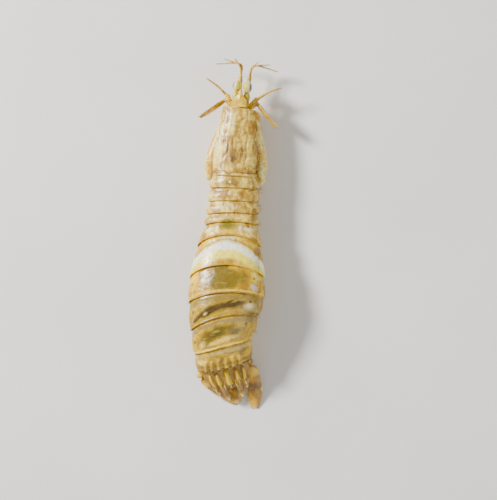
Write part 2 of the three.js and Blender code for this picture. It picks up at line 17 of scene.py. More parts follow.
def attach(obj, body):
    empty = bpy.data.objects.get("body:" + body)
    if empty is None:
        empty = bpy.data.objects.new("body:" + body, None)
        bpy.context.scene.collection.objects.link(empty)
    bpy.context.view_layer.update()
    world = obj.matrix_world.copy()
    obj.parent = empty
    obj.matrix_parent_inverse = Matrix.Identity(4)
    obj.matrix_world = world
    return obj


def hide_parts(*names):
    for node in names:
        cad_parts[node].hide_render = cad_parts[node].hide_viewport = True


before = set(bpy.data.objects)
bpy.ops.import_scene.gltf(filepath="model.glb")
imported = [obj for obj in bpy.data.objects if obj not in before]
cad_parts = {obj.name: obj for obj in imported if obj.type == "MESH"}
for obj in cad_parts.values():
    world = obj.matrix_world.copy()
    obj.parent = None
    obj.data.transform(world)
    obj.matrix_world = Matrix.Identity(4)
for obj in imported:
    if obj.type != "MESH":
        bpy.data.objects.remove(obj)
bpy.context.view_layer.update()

log = logging.getLogger("mantis_shrimp")

MM = 0.001
GAP = 0.3  # clearance between neighbouring CAD solids
STEP = 0.18  # how far a plate's rear edge stands proud of the next plate
BULGE = 0.12  # how far a plate's sides swell between its edges
SIDES = (("left", 1), ("right", -1))
UP = (0.0, 0.0, 1.0)
ROUND = 2 / 2.3  # exponent of the dome over the axis
DOME = 0.64  # share of a half section that is dome; the rest is flank and belly
RICH = 1.45  # how much more strongly the pigments are coloured than their codes

HalfWidths = Callable[[np.ndarray], tuple[np.ndarray, np.ndarray]]
Socket = bpy.types.NodeSocket


# Numbers and curves


def smooth(x: np.ndarray | float) -> np.ndarray:
    """Ease from 0 to 1, flat outside that range."""
    x = np.clip(x, 0.0, 1.0)
    return x * x * (3 - 2 * x)


def hill(x: np.ndarray | float, centre: float | np.ndarray, half: float | np.ndarray) -> np.ndarray:
    """Hill of height 1 round a centre, down to 0 at half its width."""
    return smooth(1 - np.abs(x - centre) / half)


def lerp(a: float, b: float, t: np.ndarray | float) -> np.ndarray | float:
    """Value part of the way from a to b."""
    return a + (b - a) * t


def unit(v: np.ndarray) -> np.ndarray:
    """Vectors of length 1."""
    return v / np.maximum(np.linalg.norm(v, axis=-1, keepdims=True), 1e-12)


def unrest(points: np.ndarray, period: float, seed: int) -> np.ndarray:
    """Slow irregular waves over space, about -1 to 1.

    Args:
        points: Places in millimetres, in the last axis.
        period: Length of the slowest wave in millimetres.
        seed: Seed of the waves' directions.

    Returns:
        One value for each place.
    """
    rng = np.random.default_rng(seed)
    total = np.zeros(points.shape[:-1])
    for octave in (1.0, 1.7, 2.9):
        for _ in range(3):
            way = unit(rng.normal(size=3)) * 2 * math.pi * octave / period
            total += np.sin(points @ way + rng.uniform(0, 6.28)) / octave
    return total / 4


def turned(turn: float = 0.0, pitch: float = 0.0, at: Sequence[float] = (0, 0, 0)) -> np.ndarray:
    """Placing matrix of a group.

    Args:
        turn: Turn about Z in degrees, done first.
        pitch: Turn about X in degrees, done after it.
        at: The group's origin.

    Returns:
        A 4 by 4 matrix.
    """
    c, s = math.cos(math.radians(turn)), math.sin(math.radians(turn))
    about_z = np.array([[c, -s, 0], [s, c, 0], [0, 0, 1.0]])
    c, s = math.cos(math.radians(pitch)), math.sin(math.radians(pitch))
    about_x = np.array([[1.0, 0, 0], [0, c, -s], [0, s, c]])
    matrix = np.eye(4)
    matrix[:3, :3] = about_x @ about_z
    matrix[:3, 3] = at
    return matrix


def moved(points: np.ndarray, place: np.ndarray | None) -> np.ndarray:
    """Points of a group in the frame of the whole model."""
    return points if place is None else points @ place[:3, :3].T + place[:3, 3]


class Path:
    """A smooth centripetal curve through points, read by its share of length."""

    def __init__(self, *points: Sequence[float]) -> None:
        """Sample the curve through the points."""
        p = np.array(points, dtype=float)
        if len(p) == 2:
            p = np.array([p[0], (p[0] + p[1]) / 2, p[1]])
        p = np.vstack([2 * p[0] - p[1], p, 2 * p[-1] - p[-2]])
        rows = []
        for i in range(1, len(p) - 2):
            x0, x1, x2, x3 = p[i - 1 : i + 3]
            gaps = [max(np.linalg.norm(b - a), 1e-6) ** 0.5 for a, b in ((x0, x1), (x1, x2), (x2, x3))]
            d0, d1, d2 = gaps
            m1 = ((x1 - x0) / d0 - (x2 - x0) / (d0 + d1) + (x2 - x1) / d1) * d1
            m2 = ((x2 - x1) / d1 - (x3 - x1) / (d1 + d2) + (x3 - x2) / d2) * d1
            t = np.linspace(0, 1, 60, endpoint=i == len(p) - 3)[:, None]
            c2, c3 = -3 * x1 + 3 * x2 - 2 * m1 - m2, 2 * x1 - 2 * x2 + m1 + m2
            rows.append(x1 + m1 * t + c2 * t**2 + c3 * t**3)
        self.points = np.vstack(rows)
        reach = np.linalg.norm(np.diff(self.points, axis=0), axis=1)
        self.along = np.concatenate([[0], np.cumsum(reach)])
        self.length = float(self.along[-1])

    def at(self, t: np.ndarray | float) -> np.ndarray:
        """Points at shares t of the length."""
        far = np.asarray(t) * self.length
        return np.stack([np.interp(far, self.along, self.points[:, k]) for k in range(3)], axis=-1)

    def ahead(self, t: np.ndarray | float) -> np.ndarray:
        """Directions of travel at shares t of the length."""
        t = np.asarray(t)
        return unit(self.at(np.minimum(t + 0.01, 1)) - self.at(np.maximum(t - 0.01, 0)))


def sided(side: int, *points: Sequence[float]) -> Path:
    """Path through points given for the left side, on the left for side 1 and on the right for -1."""
    return Path(*((side * x, y, z) for x, y, z in points))


def swell(w: float, h: float, root: float, tip: float, peak: float = 0.4) -> HalfWidths:
    """Half widths that swell to full at a peak.

    Args:
        w: Half width at the peak.
        h: Half thickness at the peak.
        root: Share of them at the start.
        tip: Share of them at the end.
        peak: Place of the peak, 0 to 1.

    Returns:
        A function from places to half widths and half thicknesses.
    """

    def half(t: np.ndarray) -> tuple[np.ndarray, np.ndarray]:
        """Half widths at t."""
        before = lerp(root, 1, smooth(t / peak))
        share = np.where(t < peak, before, lerp(1, tip, smooth((t - peak) / (1 - peak))))
        return w * share, h * share

    return half


def taper(w: float, h: float, tip: float, power: float = 1.0) -> HalfWidths:
    """Half widths that narrow from full to the share tip."""
    return lambda t: (w * lerp(1, tip, t**power), h * lerp(1, tip, t**power))


def jointed(half: HalfWidths, joints: Sequence[float], pinch: float = 0.24) -> HalfWidths:
    """Half widths of a limb with soft joints between its segments.

    Args:
        half: Half widths without joints.
        joints: Places of the joints along the limb.
        pinch: Share that is lost in a joint.

    Returns:
        The new function of half widths.
    """

    def share(t: np.ndarray) -> np.ndarray:
        """Share of the width that is left at t."""
        total = np.ones_like(t)
        for joint in joints:
            total += 0.1 * hill(t, joint - 0.05, 0.06) + 0.06 * hill(t, joint + 0.045, 0.05)
            total -= pinch * hill(t, joint, 0.028)
        return total

    return lambda t: tuple(value * share(t) for value in half(t))


# Meshes


@dataclass
class Skin:
    """Closed surfaces of one piece, in millimetres, with the surface values that its finish reads."""

    points: list[np.ndarray] = field(default_factory=list)
    faces: list[list[tuple[int, ...]]] = field(default_factory=list)
    values: dict[str, list[np.ndarray]] = field(
        default_factory=lambda: {"along": [], "across": [], "under": [], "rise": []},
    )
    count: int = 0

    def add(
        self, points: np.ndarray, quads: np.ndarray, tris: np.ndarray, values: dict[str, np.ndarray]
    ) -> None:
        """Add one closed surface and turn it to face outwards.

        Args:
            points: Its points.
            quads: Its faces with four corners.
            tris: Its faces with three corners.
            values: Surface values of its points.
        """
        fan = np.concatenate([tris, quads[:, [0, 1, 2]], quads[:, [0, 2, 3]]])
        middle = points.mean(axis=0)
        a, b, c = (points[fan[:, k]] - middle for k in range(3))
        if np.einsum("ij,ij->i", a, np.cross(b, c)).sum() < 0:
            quads, tris = quads[:, ::-1], tris[:, ::-1]
        made = [tuple(face) for face in (quads + self.count).tolist()]
        made += [tuple(face) for face in (tris + self.count).tolist()]
        self.points.append(points)
        self.faces.append(made)
        for key, kept in self.values.items():
            kept.append(np.broadcast_to(values.get(key, 0.0), len(points)).astype(float))
        self.count += len(points)

    def rings(self, rows: np.ndarray, **values: np.ndarray) -> None:
        """Add a body of closed rings with a cap at each end.

        Args:
            rows: Points by ring and by place round it.
            values: Surface values in the same order.
        """
        n, m, _ = rows.shape
        index = np.arange(n * m).reshape(n, m)
        after = np.roll(index, -1, axis=1)
        quads = np.stack([index[:-1], after[:-1], after[1:], index[1:]], axis=-1).reshape(-1, 4)
        first = np.stack([after[0], index[0], np.full(m, n * m)], axis=-1)
        last = np.stack([index[-1], after[-1], np.full(m, n * m + 1)], axis=-1)
        points = np.vstack([rows.reshape(-1, 3), rows[0].mean(axis=0), rows[-1].mean(axis=0)])
        flat = {}
        for key, value in values.items():
            value = np.broadcast_to(value, (n, m))
            flat[key] = np.concatenate([value.reshape(-1), [value[0].mean(), value[-1].mean()]])
        self.add(points, quads, np.concatenate([first, last]), flat)

    def shell(self, outer: np.ndarray, inner: np.ndarray, **values: np.ndarray) -> None:
        """Add a sheet with thickness, closed round its border.

        Args:
            outer: Points of the outer side by row and column.
            inner: Points of the inner side in the same order.
            values: Surface values, the same for both sides.
        """
        n, m, _ = outer.shape
        o = np.arange(n * m).reshape(n, m)
        i = o + n * m
        parts = [
            (o[:-1, :-1], o[:-1, 1:], o[1:, 1:], o[1:, :-1]),
            (i[:-1, :-1], i[1:, :-1], i[1:, 1:], i[:-1, 1:]),
            (o[0, 1:], o[0, :-1], i[0, :-1], i[0, 1:]),
            (o[-1, :-1], o[-1, 1:], i[-1, 1:], i[-1, :-1]),
            (o[:-1, 0], o[1:, 0], i[1:, 0], i[:-1, 0]),
            (o[1:, -1], o[:-1, -1], i[:-1, -1], i[1:, -1]),
        ]
        quads = np.concatenate([np.stack(part, axis=-1).reshape(-1, 4) for part in parts])
        points = np.vstack([outer.reshape(-1, 3), inner.reshape(-1, 3)])
        flat = {}
        for key, value in values.items():
            value = np.broadcast_to(value, (n, m)).reshape(-1)
            flat[key] = np.concatenate([value, value])
        self.add(points, quads, np.empty((0, 3), dtype=int), flat)

    def tube(
        self,
        path: Path,
        half: HalfWidths,
        flat: Sequence[float] = UP,
        around: int = 18,
        along: int = 30,
        place: np.ndarray | None = None,
        knobby: float = 0.0,
        relief: Callable[[np.ndarray, np.ndarray], np.ndarray] | None = None,
        value_from: float = 0.0,
    ) -> None:
        """Add a limb of oval section along a path, with rounded ends.

        Args:
            path: Its middle line.
            half: Half widths and half thicknesses along it.
            flat: The way that its width faces.
            around: Points round a section.
            along: Sections along it.
            place: Placing matrix of its group.
            knobby: Height of slow irregular swellings, in millimetres.
            relief: Height over the plain surface, from place along and angle.
            value_from: What the surface value along starts at.
        """
        ends = [min(0.45, float(max(half(np.array(t)))) / path.length * 0.9) for t in (0.0, 1.0)]
        bow = 1 - np.cos(np.linspace(0.04, math.pi / 2, 6))
        body = np.linspace(ends[0], 1 - ends[1], along)
        t = np.concatenate([ends[0] * bow[:-1], body, 1 - ends[1] * bow[::-1][1:]])
        close = np.sqrt(np.maximum(1 - np.clip(1 - t / ends[0], 0, 1) ** 2, 0))
        close *= np.sqrt(np.maximum(1 - np.clip(1 - (1 - t) / ends[1], 0, 1) ** 2, 0))
        ahead = path.ahead(t)
        side = unit(np.cross(ahead, np.asarray(flat, dtype=float)))
        up = np.cross(side, ahead)
        angle = np.linspace(0, 2 * math.pi, around, endpoint=False)
        w, h = half(t)
        w, h = np.broadcast_to(w, t.shape) * close, np.broadcast_to(h, t.shape) * close
        high = relief(t[:, None], angle[None, :]) if relief else np.zeros((len(t), around))
        out = side[:, None] * (w[:, None] * np.cos(angle))[..., None]
        out = out + up[:, None] * (h[:, None] * np.sin(angle))[..., None]
        rows = path.at(t)[:, None] + out + unit(out) * (high * close[:, None])[..., None]
        if knobby:
            rows = rows + unit(out) * (knobby * close[:, None] * unrest(rows, 1.6, around))[..., None]
        self.rings(
            moved(rows, place),
            along=value_from + t[:, None] * (1 - value_from) + 0 * angle,
            across=0 * t[:, None] + np.cos(angle),
            under=smooth(-np.sin(angle) * 1.5) + 0 * t[:, None],
            rise=high,
        )

    def ball(
        self,
        at: Sequence[float],
        radii: Sequence[float],
        place: np.ndarray | None = None,
        cut: float = 1.0,
        finer: int = 1,
        tilt: float = 0.0,
    ) -> None:
        """Add an egg shape with its poles along Y.

        Args:
            at: Its middle.
            radii: Its three radii.
            place: Placing matrix of its group.
            cut: Share of the half length kept towards +Y.
            finer: How many times finer its mesh is.
            tilt: Turn about Z in degrees.
        """
        reach = np.linspace(-1, cut, 22 * finer)
        reach = np.sign(reach) * np.abs(np.sin(reach * math.pi / 2))
        size = np.sqrt(np.maximum(1 - reach**2, 0.0004))
        angle = np.linspace(0, 2 * math.pi, 30 * finer, endpoint=False)
        rows = np.stack(
            [
                radii[0] * size[:, None] * np.cos(angle),
                radii[1] * reach[:, None] + 0 * angle,
                radii[2] * size[:, None] * np.sin(angle),
            ],
            axis=-1,
        )
        rows = moved(moved(rows, turned(tilt)) + np.asarray(at), place)
        across = size[:, None] * np.cos(angle)
        lift = size[:, None] * np.sin(angle)
        self.rings(rows, along=reach[:, None] + 0 * angle, across=across, under=lift)

    def mesh(self, name: str) -> bpy.types.Mesh:
        """Make a smooth mesh in metres.

        Args:
            name: Its name.

        Returns:
            The mesh, with its surface values as attributes.
        """
        points = np.concatenate(self.points)
        points[:, 2] = np.maximum(points[:, 2], 0.0)
        mesh = bpy.data.meshes.new(name)
        mesh.from_pydata((points * MM).tolist(), [], [face for group in self.faces for face in group])
        for key, kept in self.values.items():
            mesh.attributes.new(key, "FLOAT", "POINT").data.foreach_set("value", np.concatenate(kept))
        mesh.polygons.foreach_set("use_smooth", [True] * len(mesh.polygons))
        mesh.update()
        return mesh


def add_piece(name: str, skin: Skin, finish: "Look", node: str) -> None:
    """Put a piece in the scene, on the body and in place of its CAD node.

    Args:
        name: The piece's name.
        skin: Its surfaces.
        finish: Its finish.
        node: The CAD node that it stands for.
    """
    piece = bpy.data.objects.new(name, skin.mesh(name))
    bpy.context.scene.collection.objects.link(piece)
    piece.data.materials.append(finish.material())
    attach(piece, "root")
    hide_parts(node)
    log.info("%s: %d faces", name, len(piece.data.polygons))


# Node trees


class Board:
    """A node tree with short ways to add to it."""

    def __init__(self, tree: bpy.types.NodeTree) -> None:
        """Start on a tree."""
        self.tree = tree

    def add(
        self, kind: str, inputs: dict[str | int, object] | None = None, **settings: object
    ) -> bpy.types.Node:
        """Add a node.

        Args:
            kind: Its type.
            inputs: Values or sockets by the input's name or number.
            settings: Its other properties.

        Returns:
            The node.
        """
        node = self.tree.nodes.new(kind)
        for key, value in settings.items():
            setattr(node, key, value)
        for key, value in (inputs or {}).items():
            self.plug(node.inputs[key], value)
        return node

    def plug(self, socket: Socket, value: object) -> None:
        """Link a socket, or set its value."""
        if isinstance(value, Socket):
            self.tree.links.new(value, socket)
        else:
            socket.default_value = value

    def math(self, operation: str, a: object, b: object = 0.0, clamp: bool = False) -> Socket:
        """Result of one sum."""
        return self.add("ShaderNodeMath", {0: a, 1: b}, operation=operation, use_clamp=clamp).outputs[0]

    def mix(self, factor: object, a: object, b: object, blend: str = "MIX") -> Socket:
        """Mix of two colours."""
        made = self.add("ShaderNodeMix", {0: factor, 6: a, 7: b}, data_type="RGBA", blend_type=blend)
        return made.outputs[2]

    def ease(self, value: object, low: object, high: object, to: tuple[object, object] = (0, 1)) -> Socket:
        """Smooth step of a value from one range to another."""
        inputs = {0: value, 1: low, 2: high, 3: to[0], 4: to[1]}
        return self.add("ShaderNodeMapRange", inputs, interpolation_type="SMOOTHSTEP").outputs[0]

    def noise(self, vector: object, scale: float, detail: float = 3.0, warp: float = 0.0) -> Socket:
        """Noise between about 0.2 and 0.8."""
        inputs = {"Vector": vector, "Scale": scale, "Detail": detail, "Distortion": warp}
        return self.add("ShaderNodeTexNoise", inputs).outputs[0]

    def group(self, tree: bpy.types.NodeTree, **inputs: object) -> Socket:
        """Output of a shader group; an input's name has _ for each space."""
        node = self.add("ShaderNodeGroup", node_tree=tree)
        for key, value in inputs.items():
            self.plug(node.inputs[key.replace("_", " ")], value)
        return node.outputs[0]

    def value(self, name: str) -> Socket:
        """A surface value of the mesh."""
        return self.add("ShaderNodeAttribute", attribute_name=name).outputs["Fac"]


def shade(code: str) -> tuple[float, float, float, float]:
    """Linear colour of a six-digit code, made richer to stand up to the soft view of the render."""
    parts = [int(code[k : k + 2], 16) / 255 for k in (0, 2, 4)]
    linear = [p / 12.92 if p < 0.04045 else ((p + 0.055) / 1.055) ** 2.4 for p in parts]
    grey = sum(linear) / 3
    return (*(min(1.0, max(0.003, grey + (p - grey) * RICH)) for p in linear), 1.0)


def shader_group(
    name: str,
    inputs: dict[str, object],
    output: tuple[str, str],
    build: Callable[[Board, dict[str, Socket]], Socket],
) -> bpy.types.NodeTree:
    """Build a shader group once.

    Args:
        name: The group's name.
        inputs: Default values by name: a number, or None for a vector.
        output: Name and socket type of its output.
        build: Makes the output from the inputs.

    Returns:
        The group.
    """
    tree = bpy.data.node_groups.get(name)
    if tree:
        return tree
    tree = bpy.data.node_groups.new(name, "ShaderNodeTree")
    for key, value in inputs.items():
        kind = "NodeSocketVector" if value is None else "NodeSocketFloat"
        made = tree.interface.new_socket(name=key, in_out="INPUT", socket_type=kind)
        if value is not None:
            made.default_value = value
    tree.interface.new_socket(name=output[0], in_out="OUTPUT", socket_type=output[1])
    board = Board(tree)
    source = board.add("NodeGroupInput")
    result = build(board, {key: source.outputs[key] for key in inputs})
    board.add("NodeGroupOutput", {0: result})
    return tree


def mottle_group() -> bpy.types.NodeTree:
    """Cloudy pigment with fine specks, as a mask from 0 to 1."""

    def build(board: Board, given: dict[str, Socket]) -> Socket:
        """Mix slow clouds and specks."""
        clouds = board.add(
            "ShaderNodeTexNoise",
            {
                "Vector": given["Vector"], "Scale": given["Scale"], "Detail": 4.0,
                "Roughness": 0.62, "Distortion": 0.5,
            },
        )
        finer = board.math("MULTIPLY", given["Scale"], 6.0)
        specks = board.add("ShaderNodeTexVoronoi", {"Vector": given["Vector"], "Scale": finer})
        dots = board.math("MULTIPLY", board.ease(specks.outputs["Distance"], 0.32, 0.1), given["Specks"])
        soft = board.ease(clouds.outputs[0], 0.34, 0.66)
        return board.math("ADD", board.math("MULTIPLY", soft, given["Contrast"]), dots, clamp=True)

    inputs = {"Vector": None, "Scale": 400.0, "Contrast": 1.0, "Specks": 0.3}
    return shader_group("Pigment mottle", inputs, ("Mask", "NodeSocketFloat"), build)


def mark_edge(board: Board, far: Socket, given: dict[str, Socket]) -> Socket:
    """A mark's mask from the distance to its middle, 1 at its edge."""
    return board.ease(far, 1.0, board.math("SUBTRACT", 1.0, given["Soft"]), (0.0, given["Strength"]))


def patch_group() -> bpy.types.NodeTree:
    """An oval patch with a ragged edge, as a mask: mostly pigment, at a few places a painted highlight."""

    def build(board: Board, given: dict[str, Socket]) -> Socket:
        """Distance from the patch's middle, roughened."""
        x = board.math("SUBTRACT", given["Across"], given["At across"])
        y = board.math("SUBTRACT", given["Along"], given["At along"])
        y = board.math("SUBTRACT", y, board.math("MULTIPLY", x, given["Slant"]))
        x, y = board.math("DIVIDE", x, given["Wide"]), board.math("DIVIDE", y, given["Long"])
        far = board.math(
            "SQRT", board.math("ADD", board.math("MULTIPLY", x, x), board.math("MULTIPLY", y, y))
        )
        ragged = board.math("MULTIPLY", board.math("SUBTRACT", given["Ragged"], 0.5), 0.9)
        return mark_edge(board, board.math("ADD", far, ragged), given)

    inputs = {"Across": 0.0, "Along": 0.0, "Ragged": 0.5, "At across": 0.0, "At along": 0.5}
    inputs |= {"Wide": 1.0, "Long": 0.2, "Slant": 0.0, "Soft": 0.6, "Strength": 1.0}
    return shader_group("Pigment patch", inputs, ("Mask", "NodeSocketFloat"), build)


def band_group() -> bpy.types.NodeTree:
    """A band across the body, bowed and ragged, as a mask: mostly pigment, at a few places painted light."""

    def build(board: Board, given: dict[str, Socket]) -> Socket:
        """Distance from the band's middle line."""
        square = board.math("MULTIPLY", given["Across"], given["Across"])
        line = board.math("SUBTRACT", given["Along"], given["At along"])
        line = board.math("SUBTRACT", line, board.math("MULTIPLY", square, given["Bow"]))
        line = board.math("SUBTRACT", line, board.math("MULTIPLY", given["Across"], given["Slant"]))
        wave = board.math("MULTIPLY", board.math("SUBTRACT", given["Ragged"], 0.5), 0.14)
        far = board.math("DIVIDE", board.math("ABSOLUTE", board.math("ADD", line, wave)), given["Long"])
        return mark_edge(board, far, given)

    inputs = {"Across": 0.0, "Along": 0.0, "Ragged": 0.5, "At along": 0.5, "Long": 0.1}
    inputs |= {"Bow": 0.0, "Slant": 0.0, "Soft": 0.6, "Strength": 1.0}
    return shader_group("Pigment band", inputs, ("Mask", "NodeSocketFloat"), build)


def grain_group() -> bpy.types.NodeTree:
    """Fine pits and wrinkles of hard cuticle, as a height."""

    def build(board: Board, given: dict[str, Socket]) -> Socket:
        """Pits over slow dents."""
        pits = board.add("ShaderNodeTexVoronoi", {"Vector": given["Vector"], "Scale": given["Scale"]})
        sunk = board.math("MULTIPLY", board.ease(pits.outputs["Distance"], 0.0, 0.3), given["Pits"])
        slow = board.math("MULTIPLY", given["Scale"], 0.22)
        dents = board.add("ShaderNodeTexNoise", {"Vector": given["Vector"], "Scale": slow, "Detail": 5.0})
        return board.math("ADD", sunk, board.math("MULTIPLY", dents.outputs[0], 3.5))

    inputs = {"Vector": None, "Scale": 6000.0, "Pits": 0.35}
    return shader_group("Cuticle grain", inputs, ("Height", "NodeSocketFloat"), build)


# Finishes


class MarkKind(Enum):
    """The shapes that the marks come in, pigment and painted light alike."""

    PATCH = "patch"
    BAND = "band"


@dataclass(frozen=True)
class Mark:
    """One mark, mostly of pigment and at a few places of painted light: its place across in millimetres and
    along from 0 to 1, its half sizes and colour.
    """

    colour: str
    along: float
    long: float
    across: float = 0.0
    wide: float = 1.0
    strength: float = 0.85
    soft: float = 0.7
    bow: float = 0.0
    slant: float = 0.0
    kind: MarkKind = MarkKind.PATCH


def band(colour: str, along: float, long: float, **more: float) -> Mark:
    """A band mark right across a piece."""
    return Mark(colour, along, long, kind=MarkKind.BAND, **more)


@dataclass(frozen=True)
class Look:
    """What every finish does: make its material once."""

    name: str

    def material(self) -> bpy.types.Material:
        """Find the material, or make it.

        Returns:
            The material.
        """
        made = bpy.data.materials.get(self.name)
        if made:
            return made
        made = bpy.data.materials.new(self.name)
        made.use_nodes = True
        board = Board(made.node_tree)
        place = board.add("ShaderNodeTexCoord").outputs["Object"]
        for key, value in self.dress(board, place).items():
            board.plug(made.node_tree.nodes["Principled BSDF"].inputs[key], value)
        return made

    def dress(self, board: "Board", place: Socket) -> dict[str, object]:
        """The shader's values and links by socket; each finish has its own."""
        raise NotImplementedError


@dataclass(frozen=True)
class Finish(Look):
    """Hard, wet, slightly clear cuticle with its pigment marks, painted shade in its grooves and a painted
    highlight on its raised rims.
    """

    light: str = "e6c47c"
    dark: str = "b08c44"
    belly: str = "e2cfa0"
    marks: tuple[Mark, ...] = ()
    cloud: float = 420.0
    specks: float = 0.25
    streak: float = 0.5
    roughness: float = 0.36
    coat: float = 0.32
    clear: float = 0.12
    bump: float = 0.8
    # Strength of the random stains and pale strokes, and of the painted highlight on raised rims.
    stain_and_highlight: float = 0.45
    stretch: tuple[float, float, float] = (1.0, 7.0, 1.0)
    turn: float = 0.0
    ridge: str = ""

    def dress(self, board: Board, place: Socket) -> dict[str, object]:
        """Values and links of the shader.

        Args:
            board: The material's board.
            place: The object coordinates.

        Returns:
            What goes in each socket.
        """
        wear = board.noise(place, self.cloud * 3, 4.0)
        grain = board.group(grain_group(), Vector=place)
        inputs = {"Strength": self.bump, "Distance": 0.00003, "Height": grain}
        return {
            "Base Color": self.colour(board, place),
            "Roughness": board.ease(wear, 0.3, 0.7, (self.roughness * 0.7, self.roughness * 1.35)),
            "Coat Weight": self.coat,
            "Coat Roughness": 0.16,
            "Subsurface Weight": self.clear,
            "Subsurface Radius": (1.0, 0.62, 0.28),
            "Subsurface Scale": 0.0006,
            "Normal": board.add("ShaderNodeBump", inputs).outputs[0],
        }

    def colour(self, board: Board, place: Socket) -> Socket:
        """Pigment of the surface, with painted shade in its grooves and a painted highlight on its raised
        rims.

        Args:
            board: The material's board.
            place: The object coordinates.

        Returns:
            The colour.
        """
        across, along = board.value("across"), board.value("along")
        mottle = board.group(mottle_group(), Vector=place, Scale=self.cloud, Specks=self.specks)
        colour = board.mix(mottle, shade(self.light), shade(self.dark))
        drawn = board.add(
            "ShaderNodeMapping",
            {"Vector": place, "Rotation": (0.0, 0.0, math.radians(self.turn)), "Scale": self.stretch},
            vector_type="TEXTURE",
        )
        lines = board.ease(board.noise(drawn.outputs[0], self.cloud * 3.2, 3.0, 0.6), 0.5, 0.72)
        colour = board.mix(board.math("MULTIPLY", lines, self.streak), colour, shade(self.dark))
        rise = board.value("rise")
        if self.ridge:
            colour = board.mix(board.ease(rise, 0.05, 0.42), colour, shade(self.ridge))
        ragged = board.noise(place, self.cloud * 1.6, 4.0)
        for mark in self.marks:
            inputs = {"Across": across, "Along": along, "Ragged": ragged, "At_along": mark.along}
            inputs |= {"Long": mark.long, "Slant": mark.slant, "Soft": mark.soft, "Strength": mark.strength}
            if mark.kind is MarkKind.PATCH:
                spot = board.group(patch_group(), At_across=mark.across, Wide=mark.wide, **inputs)
            else:
                spot = board.group(band_group(), Bow=mark.bow, **inputs)
            colour = board.mix(spot, colour, shade(mark.colour))
        stained = board.ease(board.noise(place, self.cloud * 4.5, 5.0, 0.8), 0.46, 0.64, (0.0, self.stain_and_highlight))
        colour = board.mix(stained, colour, shade("6a4c1c"))
        pale = board.ease(
            board.noise(drawn.outputs[0], self.cloud * 5.5, 3.0), 0.56, 0.72, (0.0, self.stain_and_highlight * 0.8)
        )
        colour = board.mix(pale, colour, shade("f6dc92"))
        # Painted shade: the colour turns dark brown in the grooves and in the sunk front of each plate, where
        # shade falls.
        colour = board.mix(board.ease(rise, -0.03, -0.085, (0.0, 0.7)), colour, shade("6b4c1c"))
        # Painted highlight: raised rims and ridges are laid over with the light colour, scaled by the same
        # setting as the stains.
        colour = board.mix(board.ease(rise, 0.03, 0.075, (0.0, self.stain_and_highlight * 0.7)), colour, shade(self.light))
        return board.mix(board.value("under"), colour, shade(self.belly))


@dataclass(frozen=True)
class CorneaFinish(Look):
    """Compound eye: clear facets over a pale ground, with a dark band on its outer side."""

    side: int = 1
    ground: str = "dcd6b4"
    inner: str = "d2c26c"
    pupil: str = "33280f"

    def dress(self, board: Board, place: Socket) -> dict[str, object]:
        """Values and links of the shader.

        Args:
            board: The material's board.
            place: The object coordinates.

        Returns:
            What goes in each socket.
        """
        out = board.math("MULTIPLY", board.value("across"), float(self.side))
        lift, along = board.value("under"), board.value("along")
        colour = board.mix(board.ease(out, -0.1, 0.3), shade(self.inner), shade(self.ground))
        clouds = board.ease(board.noise(place, 1500.0, 3.0), 0.4, 0.7)
        colour = board.mix(board.math("MULTIPLY", clouds, 0.35), colour, shade("8f8a58"))
        dark = board.math(
            "MULTIPLY", board.ease(out, 0.5, 0.68), board.ease(board.math("ABSOLUTE", along), 0.92, 0.55)
        )
        colour = board.mix(board.math("MULTIPLY", dark, 0.9), colour, shade(self.pupil))
        rows = board.math("ABSOLUTE", board.math("SUBTRACT", lift, 0.05))
        midband = board.ease(rows, 0.2, 0.13)
        ribs = board.math("SINE", board.math("MULTIPLY", lift, 95.0))
        stripes = board.math("MULTIPLY", midband, board.ease(ribs, -0.2, 0.6, (0.15, 0.6)))
        colour = board.mix(stripes, colour, shade("9c8f4a"))
        facets = board.add("ShaderNodeTexVoronoi", {"Vector": place, "Scale": 16000.0})
        height = board.ease(facets.outputs["Distance"], 0.0, 0.6, (1.0, 0.0))
        inputs = {"Strength": 0.35, "Distance": 0.00002, "Height": height}
        return {
            "Base Color": colour,
            "Roughness": board.ease(height, 0.0, 1.0, (0.16, 0.28)),
            "Coat Weight": 1.0,
            "Coat Roughness": 0.03,
            "Subsurface Weight": 0.2,
            "Subsurface Scale": 0.0005,
            "Normal": board.add("ShaderNodeBump", inputs).outputs[0],
        }


@dataclass(frozen=True)
class FloorFinish(Look):
    """Pale, dull studio floor."""

    def dress(self, board: Board, place: Socket) -> dict[str, object]:
        """Colour and roughness that change slowly over the floor."""
        tone = board.ease(board.noise(place, 30.0, 4.0), 0.3, 0.7)
        colour = board.mix(tone, shade("dedbd5"), shade("e5e2dc"))
        return {"Base Color": colour, "Roughness": board.ease(tone, 0.0, 1.0, (0.8, 0.9))}


LIMB = Finish("limb_cuticle", light="eac668", dark="a07c2e", belly="e0c88c", cloud=700.0, specks=0.35)
PALE = Finish("pale_limb_cuticle", light="e6cf98", dark="c4a05c", belly="e4d6ac", cloud=650.0, clear=0.25)
SOFT = Finish(
    "soft_membrane", light="e0cda0", dark="bfa066", belly="e4d6ae", cloud=900.0, roughness=0.45, clear=0.3
)
HAIR = Finish(
    "bristles",
    light="dcb970",
    dark="a98444",
    belly="dcb970",
    cloud=1500.0,
    coat=0.1,
    roughness=0.5,
    bump=0.1,
    streak=0.2,
)
TIP = Finish(
    "horn_tips", light="e9cf7c", dark="9c6a20", belly="c79c46", cloud=900.0, roughness=0.22, streak=0.3
)


# Bristles, teeth and rings, made by Geometry Nodes


